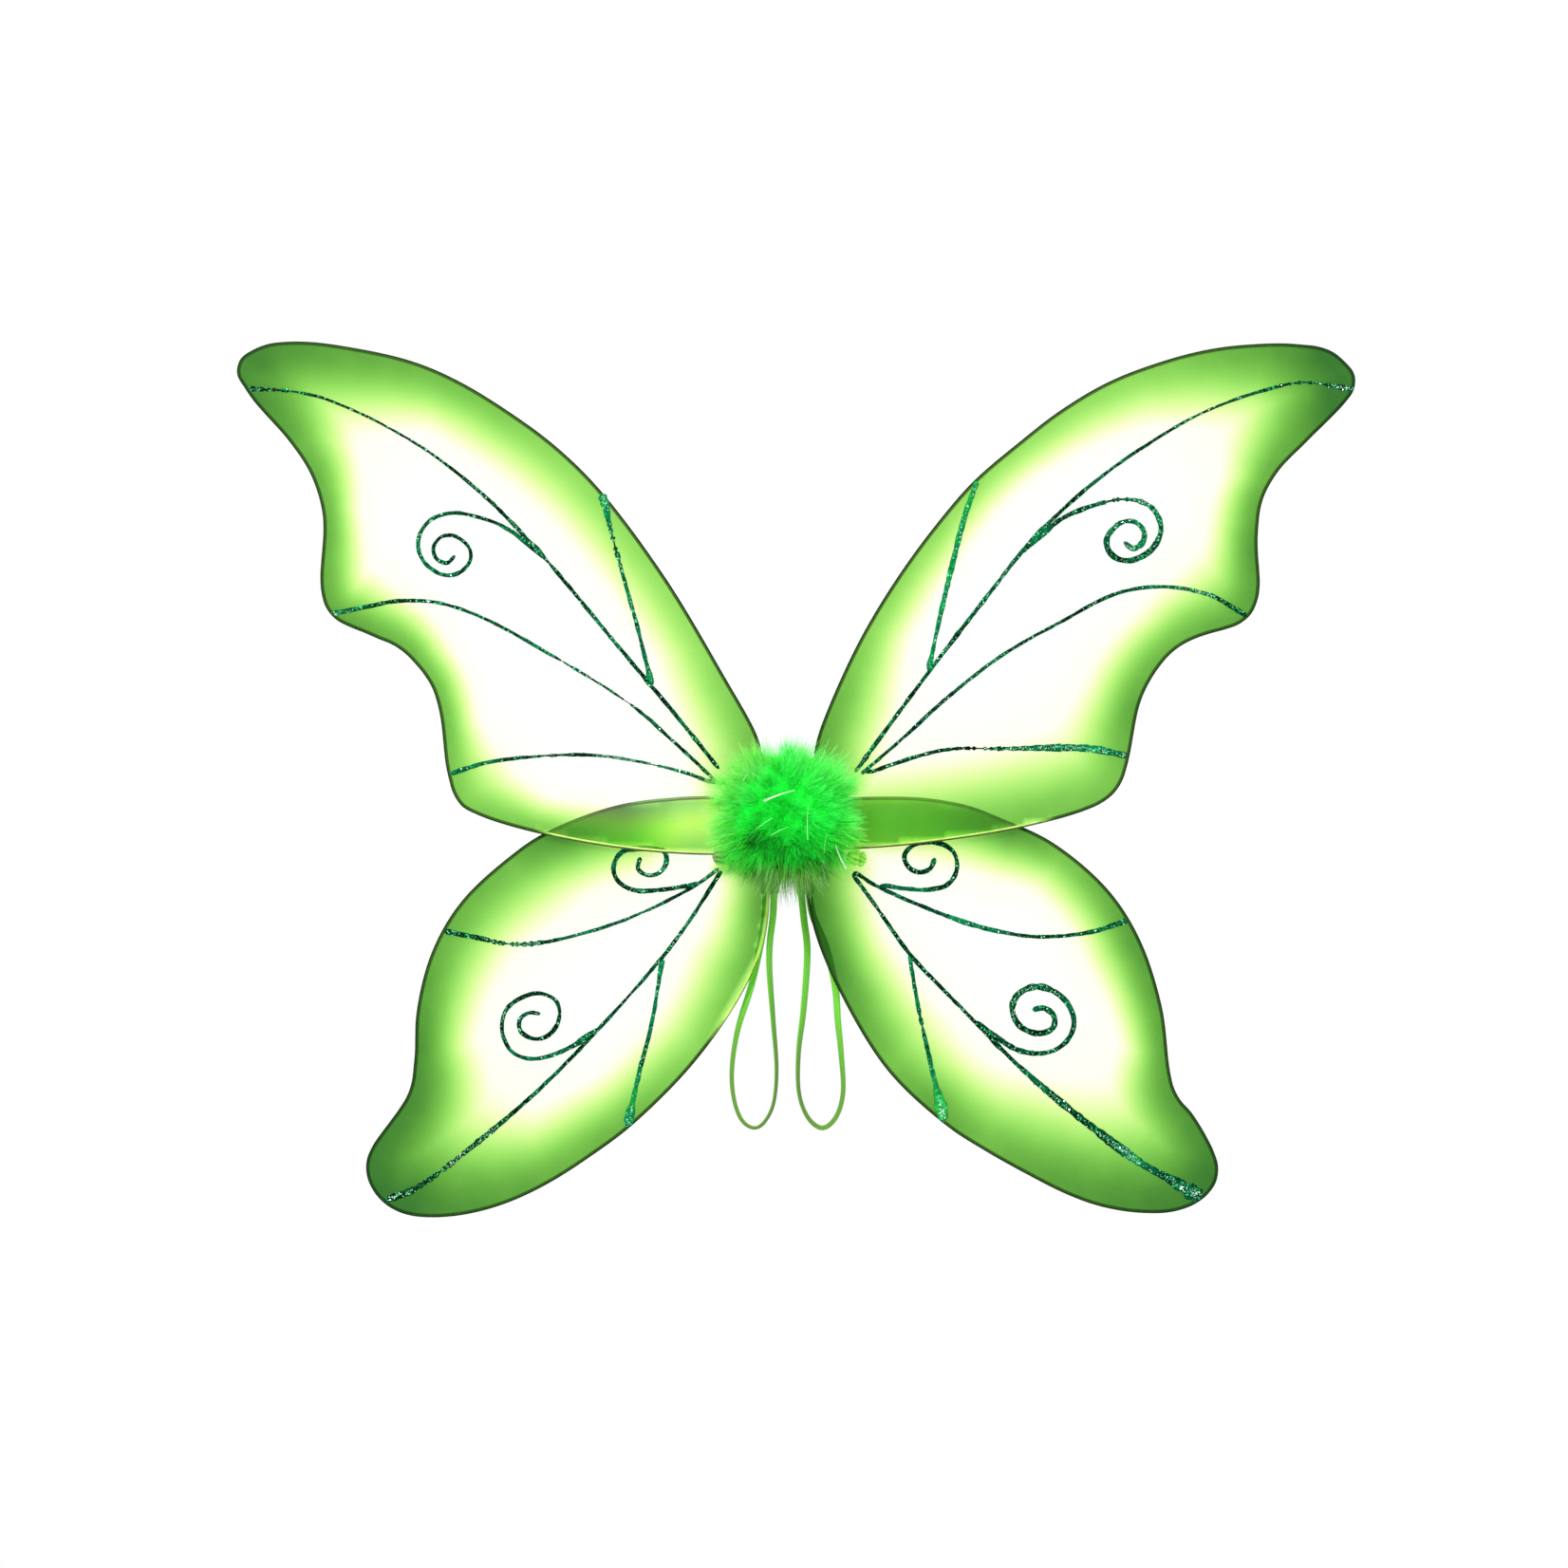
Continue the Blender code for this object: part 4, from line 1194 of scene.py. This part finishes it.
def make_pouf_body(material):
    """The matted inner down that the plumes stand in."""
    rings, sides = 34, 60
    vertices = []
    for ring in range(rings + 1):
        tilt = math.pi * ring / rings
        for side in range(sides):
            turn = 2 * math.pi * side / sides
            across = math.sin(tilt)
            vertices.append((across * math.cos(turn), -math.cos(tilt), across * math.sin(turn)))
    directions = unit(np.array(vertices))
    x, y, z = directions.T
    lumps = 0.05 * np.sin(9 * x + 4 * z) * np.sin(8 * z - 3 * y)
    lumps = lumps + 0.03 * np.sin(17 * x - 11 * z + 6 * y)
    places = POUF_MIDDLE + directions * (pouf_reach(directions) * (0.70 + lumps))[:, None]
    places[:, 1] = np.minimum(places[:, 1], POUF_REAR - 1.0 * MM)
    places = draw_forward(places, FLUFF_SLOPES["hub"])
    piece = mesh_piece("marabou_inner_down", places, ring_faces(rings + 1, sides, closed=False), material)
    shade, warm, brown = fluff_tone(places, 0.0)
    # The inner down is painted darker than the plumes, as painted shade inside the pouf.
    set_attribute(piece, "shade", shade - 0.3)
    set_attribute(piece, "warm", warm * 0.3)
    set_attribute(piece, "brown", brown)
    set_attribute(piece, "pale", np.zeros(len(places)))
    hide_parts("marabou_pouf")
    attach(piece, "hub")


# The down's colour from dark to bright; its dark end carries the painted shade.
MARABOU_STOPS = (
    (0.0, "0a5a12"), (0.2, "128a1e"), (0.4, "1cc42c"), (0.6, "18ec3c"), (0.8, "18ff48"), (1.0, "4cff70"),
)


def marabou_material():
    s = Shader("marabou down")
    s.set(roughness=0.8, specular=0.1)
    fine = s.spread(s.noise(420.0, 3.0), 0.3, 0.7, -0.06, 0.06)
    shade = s.math("ADD", s.attribute("shade"), fine, clamp=True)
    green = s.ramp(shade, MARABOU_STOPS)
    yellow = s.ramp(shade, ((0.0, "2a8a18"), (0.4, "50dc38"), (0.8, "78ff5c"), (1.0, "a8ff80")))
    brown = s.ramp(shade, ((0.0, "3a5c18"), (0.3, "64942c"), (0.6, "98c060"), (1.0, "c6dba0")))
    tone = s.mix(s.attribute("warm"), green, yellow)
    tone = s.mix(s.attribute("brown"), tone, brown)
    tone = s.mix(s.attribute("pale"), tone, srgb("d2f4cc"))
    s.link(tone, s.shader.inputs["Base Color"])
    s.bump(s.noise(1500.0, 2.0), 0.3, 0.0003)
    return s.material


# ---------------------------------------------------------------- knots, wire legs and the hub

KNOT_PLACES = {"left_upper": (-38.5, -22.0), "right_upper": (40.5, -23.5)}
KNOT_DEPTH = -16.9 * MM
KNOT_SIZE = np.array([6.0, 2.3, 4.8]) * MM


def make_knot(wing, material):
    """Spare nylon gathered into pleats and tied down with a few turns of thread."""
    x, z = KNOT_PLACES[wing]
    rings, sides = 24, 54
    vertices, pleat_shading_values = [], []
    for ring in range(rings + 1):
        along = -1 + 2 * ring / rings
        body = math.sqrt(max(0.0, 1 - abs(along) ** 2.6)) + 0.02
        waist = 1 - 0.34 * math.exp(-((along - 0.25) / 0.13) ** 2)
        for side in range(sides):
            turn = 2 * math.pi * side / sides
            pleat = math.cos(9 * turn + 2.5 * along) + 0.4 * math.cos(5 * turn - 3 * along)
            radius = body * waist * (1 + 0.13 * pleat * min(1.0, 1.4 - abs(along)))
            vertices.append((along, radius * math.sin(turn), radius * math.cos(turn)))
            # Pleat ridges are painted lighter and their hollows darker: painted highlight and painted shade.
            pleat_shading_values.append(0.5 + 0.36 * pleat)
    lean = math.radians(-14 if x > 0 else 14)
    places = np.array(vertices) * KNOT_SIZE
    turned_x = places[:, 0] * math.cos(lean) - places[:, 2] * math.sin(lean)
    turned_z = places[:, 0] * math.sin(lean) + places[:, 2] * math.cos(lean)
    places = np.stack([turned_x + x * MM, places[:, 1] + KNOT_DEPTH, turned_z + z * MM], axis=1)
    piece = mesh_piece(f"{wing}_nylon_gather", places, ring_faces(rings + 1, sides), material)
    set_attribute(piece, "pleat_shading", pleat_shading_values)
    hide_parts(f"{wing}_knot")
    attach(piece, f"{wing}_wing")


def gather_material(name, dark, light):
    s = Shader(name)
    s.set(roughness=0.4, specular=0.5, sheen=0.2)
    tone = s.math("ADD", s.attribute("pleat_shading"), s.spread(s.noise(600.0, 3.0), 0.3, 0.7, -0.2, 0.2), clamp=True)
    # The ramp from dark to light follows the pleats: painted shade in the hollows, painted highlight on the
    # ridges.
    s.link(s.ramp(tone, ((0.1, dark), (0.9, light))), s.shader.inputs["Base Color"])
    s.bump(s.math("ADD", s.wave(900.0, "X"), s.wave(900.0, "Z")), 0.2, 0.0003)
    return s.material


LEG_RINGS = 14
LEG_HUB_END = 9.5 * MM


def make_leg_stubs(wing, material):
    """The last of each wire leg, running straight between its wing and the binding."""
    points, depth = wire_line(wing)
    sign = -1 if wing.startswith("left") else 1
    for number, end in enumerate((points[0], points[-1])):
        xs = np.linspace(end[0] + sign * 0.3 * MM, sign * LEG_HUB_END, LEG_RINGS)
        line = np.stack([xs, np.full(LEG_RINGS, depth), np.full(LEG_RINGS, end[1])], axis=1)
        vertices = tube_vertices(line, np.full(LEG_RINGS, WIRE_RADIUS), WIRE_SIDES)
        faces = ring_faces(LEG_RINGS, WIRE_SIDES)
        piece = mesh_piece(f"{wing}_wire_leg_{number + 1}", vertices, faces, material)
        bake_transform(piece)


BINDING_HALF = np.array([12.0, 3.7, 30.0]) * MM
BINDING_DEPTH = -12.35 * MM
TAPE_PITCH = 8.5 * MM


def squared(value, power):
    """A sine or cosine drawn out towards 1 or -1, which squares off a round section."""
    return math.copysign(abs(value) ** power, value)


def make_binding(material):
    """Cloth tape wound round the wire legs in overlapping turns."""
    rings, sides = 110, 64
    vertices, edges = [], []
    for ring in range(rings + 1):
        z = BINDING_HALF[2] * (-1 + 2 * ring / rings)
        rounding = 1 - 0.22 * (abs(z) / BINDING_HALF[2]) ** 8
        for side in range(sides):
            turn = 2 * math.pi * side / sides
            lap = (z / TAPE_PITCH + 0.3 * math.cos(turn) + turn / (2 * math.pi)) % 1.0
            grow = (1 - lap) * 0.42 * MM + 0.12 * MM * math.sin(turn * 5 + z * 900)
            x = squared(math.cos(turn), 0.6) * (BINDING_HALF[0] * rounding - 0.45 * MM + grow)
            y = squared(math.sin(turn), 0.6) * (BINDING_HALF[1] * rounding - 0.45 * MM + grow)
            vertices.append((x, BINDING_DEPTH + y, z))
            edges.append(lap)
    piece = mesh_piece("wound_binding_tape", vertices, ring_faces(rings + 1, sides), material)
    set_attribute(piece, "lap", edges)
    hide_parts("centre_binding")
    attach(piece, "hub")


def tape_material():
    s = Shader("green cloth tape")
    s.set(roughness=0.5, specular=0.4, sheen=0.15)
    weave = s.math("MULTIPLY", s.wave(420.0, "X"), s.wave(420.0, "Z"))
    # Darker where each turn runs in under the next turn's edge: painted shade.
    tone = s.math("ADD", s.math("MULTIPLY", s.attribute("lap"), 0.6), s.math("MULTIPLY", weave, 0.4))
    s.link(s.ramp(tone, ((0.0, "2c8f34"), (0.6, "35a53c"), (1.0, "1a5a22"))), s.shader.inputs["Base Color"])
    s.bump(weave, 0.35, 0.0003)
    return s.material


PAD_HALF = (26.0 * MM, 36.0 * MM)
PAD_CORNER = 14.0 * MM
PAD_MIDDLE = -3.0 * MM
PAD_THICKNESS = 3.0 * MM
PAD_SEAM = 4.6 * MM
SEAM_HOLES = 118
THREAD_SIDES = 7


def rounded_outline(half_x, half_z, corner, count):
    """A rounded rectangle's outline at an even spacing."""
    corners = ((half_x, half_z, 0), (-half_x, half_z, 90), (-half_x, -half_z, 180), (half_x, -half_z, 270))
    points = []
    for x, z, start in corners:
        for turn in np.radians(np.linspace(start, start + 90, 13)):
            points.append((x - math.copysign(corner, x) + corner * math.cos(turn),
                           z - math.copysign(corner, z) + corner * math.sin(turn)))
    points.append(points[0])
    return even_line(np.array(points), line_lengths(np.array(points))[-1] / count)[:-1]


def make_pad(felt, thread):
    """A soft felt back pad, pinched along the seam sewn round its edge."""
    count = 120
    insets = np.array([0, 0.35, 0.9, 1.8, 3.0, 4.0, PAD_SEAM / MM, 5.2, 6.4, 8.5, 12, 16, 20, 24]) * MM
    levels = []
    for inset in insets:
        corner = max(PAD_CORNER - inset, 2.0 * MM)
        outline = rounded_outline(PAD_HALF[0] - inset, PAD_HALF[1] - inset, corner, count)[:count]
        edge = min(1.0, inset / (3.2 * MM))
        thick = PAD_THICKNESS * math.sqrt(1 - (1 - edge) ** 2)
        thick -= 0.75 * MM * math.exp(-((inset - PAD_SEAM) / (0.9 * MM)) ** 2)
        levels.append((outline, thick))
    vertices = [in_space(levels[0][0], PAD_MIDDLE)]
    for outline, thick in levels[1:]:
        vertices.insert(0, in_space(outline, PAD_MIDDLE - thick))
        vertices.append(in_space(outline, PAD_MIDDLE + thick))
    rings = len(vertices)
    piece = mesh_piece("felt_back_pad", np.vstack(vertices), ring_faces(rings, count), felt)
    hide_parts("back_pad")
    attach(piece, "hub")
    seam = rounded_outline(PAD_HALF[0] - PAD_SEAM, PAD_HALF[1] - PAD_SEAM, PAD_CORNER - PAD_SEAM, SEAM_HOLES)
    points, faces = [], []
    for index in range(0, SEAM_HOLES, 2):
        ends = np.array([seam[index], seam[(index + 1) % SEAM_HOLES]])
        ends = ends + (ends[::-1] - ends) * 0.08
        line = in_space(even_line(ends, 0.5 * MM), -0.32 * MM)
        arch = np.sin(np.linspace(0, math.pi, len(line)))
        line[:, 1] -= (1 - arch) * 0.5 * MM
        first = sum(len(block) for block in points)
        points.append(tube_vertices(line, np.full(len(line), 0.28 * MM), THREAD_SIDES))
        faces += ring_faces(len(line), THREAD_SIDES, first=first)
    stitches = mesh_piece("back_pad_stitches", np.vstack(points), faces, thread)
    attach(stitches, "hub")


def felt_material():
    s = Shader("green felt")
    s.set(roughness=0.95, specular=0.1, sheen=0.35)
    fibres = s.noise(900.0, 6.0)
    cloud = s.noise(70.0, 3.0)
    tone = s.math("ADD", s.math("MULTIPLY", fibres, 0.6), s.math("MULTIPLY", cloud, 0.4))
    s.link(s.ramp(tone, ((0.3, "3f9a30"), (0.5, "57b83e"), (0.7, "78cf58"))), s.shader.inputs["Base Color"])
    s.bump(fibres, 0.6, 0.0006)
    return s.material


def thread_material():
    s = Shader("sewing thread")
    s.set(roughness=0.5, specular=0.3)
    tone = s.wave(1800.0, "DIAGONAL")
    s.link(s.ramp(tone, ((0.0, "1d5c22"), (1.0, "3f9440"))), s.shader.inputs["Base Color"])
    s.bump(tone, 0.4, 0.0002)
    return s.material


TAB_MIDDLE = (10.5 * MM, -3.3 * MM, -40.8 * MM)
TAB_HALF = np.array([5.5, 2.25, 4.5]) * MM


def make_tab(side, webbing, thread):
    """A folded tab sewn to the pad's lower edge, holding both ends of a strap."""
    sign = -1 if side == "left" else 1
    rings, sides = 22, 56
    vertices = []
    for ring in range(rings + 1):
        z = -1 + 2 * ring / rings
        end = (1 - abs(z) ** 9) ** (1 / 3) * 0.97 + 0.03
        for place in range(sides):
            turn = 2 * math.pi * place / sides
            u = squared(math.cos(turn), 0.35)
            v = squared(math.sin(turn), 0.55)
            puff = 1 - 0.12 * math.exp(-((abs(z) - 0.62) / 0.09) ** 2)
            vertices.append((u * end, v * end * puff, z))
    middle = np.array([sign * TAB_MIDDLE[0], TAB_MIDDLE[1], TAB_MIDDLE[2]])
    places = np.array(vertices) * TAB_HALF + middle
    piece = mesh_piece(f"{side}_folded_tab", places, ring_faces(rings + 1, sides), webbing)
    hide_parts(f"{side}_strap_tab")
    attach(piece, "hub")
    points, faces = [], []
    for row in (-0.62, 0.62):
        for face in (-1, 1):
            for x in np.arange(-4.2, 4.3, 2.1):
                xs = np.linspace(x - 0.75, x + 0.75, 5) * MM
                ys = np.full(5, face * TAB_HALF[1] * 0.9) * (0.9 + 0.1 * np.sin(np.linspace(0, math.pi, 5)))
                line = np.stack([xs, ys, np.full(5, row * TAB_HALF[2])], axis=1) + middle
                first = sum(len(block) for block in points)
                points.append(tube_vertices(line, np.full(5, 0.26 * MM), THREAD_SIDES))
                faces += ring_faces(5, THREAD_SIDES, first=first)
    stitches = mesh_piece(f"{side}_tab_stitches", np.vstack(points), faces, thread)
    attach(stitches, "hub")


def webbing_material():
    s = Shader("woven tab")
    s.set(roughness=0.65, specular=0.3, sheen=0.2)
    weave = s.math("MULTIPLY", s.wave(330.0, "X"), s.wave(260.0, "Z"))
    s.link(s.ramp(weave, ((0.0, "4d9c2c"), (0.7, "7ed04a"))), s.shader.inputs["Base Color"])
    s.bump(weave, 0.5, 0.0004)
    return s.material


def board_material(name, dark, light):
    s = Shader(name)
    s.set(roughness=0.6, specular=0.35)
    coarse = s.math("MULTIPLY", s.noise(120.0, 5.0), 0.7)
    fine = s.math("MULTIPLY", s.noise(1400.0, 2.0), 0.3)
    tone = s.math("ADD", coarse, fine)
    s.link(s.ramp(tone, ((0.35, dark), (0.65, light))), s.shader.inputs["Base Color"])
    s.bump(s.noise(500.0, 4.0), 0.25, 0.0004)
    return s.material


def dress_node(node, material):
    NODES[node].data.materials.clear()
    NODES[node].data.materials.append(material)


# ---------------------------------------------------------------- building it all

def main():
    make_stage()
    materials = {
        "nylon": nylon_material(),
        "wire": wire_material(),
        "glitter": glitter_material(),
        "flakes": flake_material(),
        "elastic": elastic_material(),
        "marabou": marabou_material(),
    }
    for side in SIDES:
        make_strap(side, materials["elastic"])
    for number, wing in enumerate(WINGS):
        random = np.random.default_rng(number + 1)
        make_wire(wing, materials["wire"])
        make_sleeve(wing, materials["nylon"])
        veins = VEIN_NAMES[wing.split("_")[1]]
        beads = [make_vein(wing, vein, materials["glitter"], random) for vein in veins]
        make_flakes(wing, beads, materials["flakes"], random)
        make_leg_stubs(wing, materials["wire"])
    make_knot("left_upper", gather_material("olive gathered nylon", "24400c", "86b23c"))
    make_knot("right_upper", gather_material("lime gathered nylon", "4cc814", "b8ff50"))
    make_pouf(materials["marabou"])
    thread = thread_material()
    make_binding(tape_material())
    make_pad(felt_material(), thread)
    webbing = webbing_material()
    for side in SIDES:
        make_tab(side, webbing, thread)
    dress_node("hub_plate", board_material("painted hub board", "2c7f34", "3fa044"))
    dress_node("pouf_core", board_material("pouf backing disc", "1f8f34", "30b048"))


main()
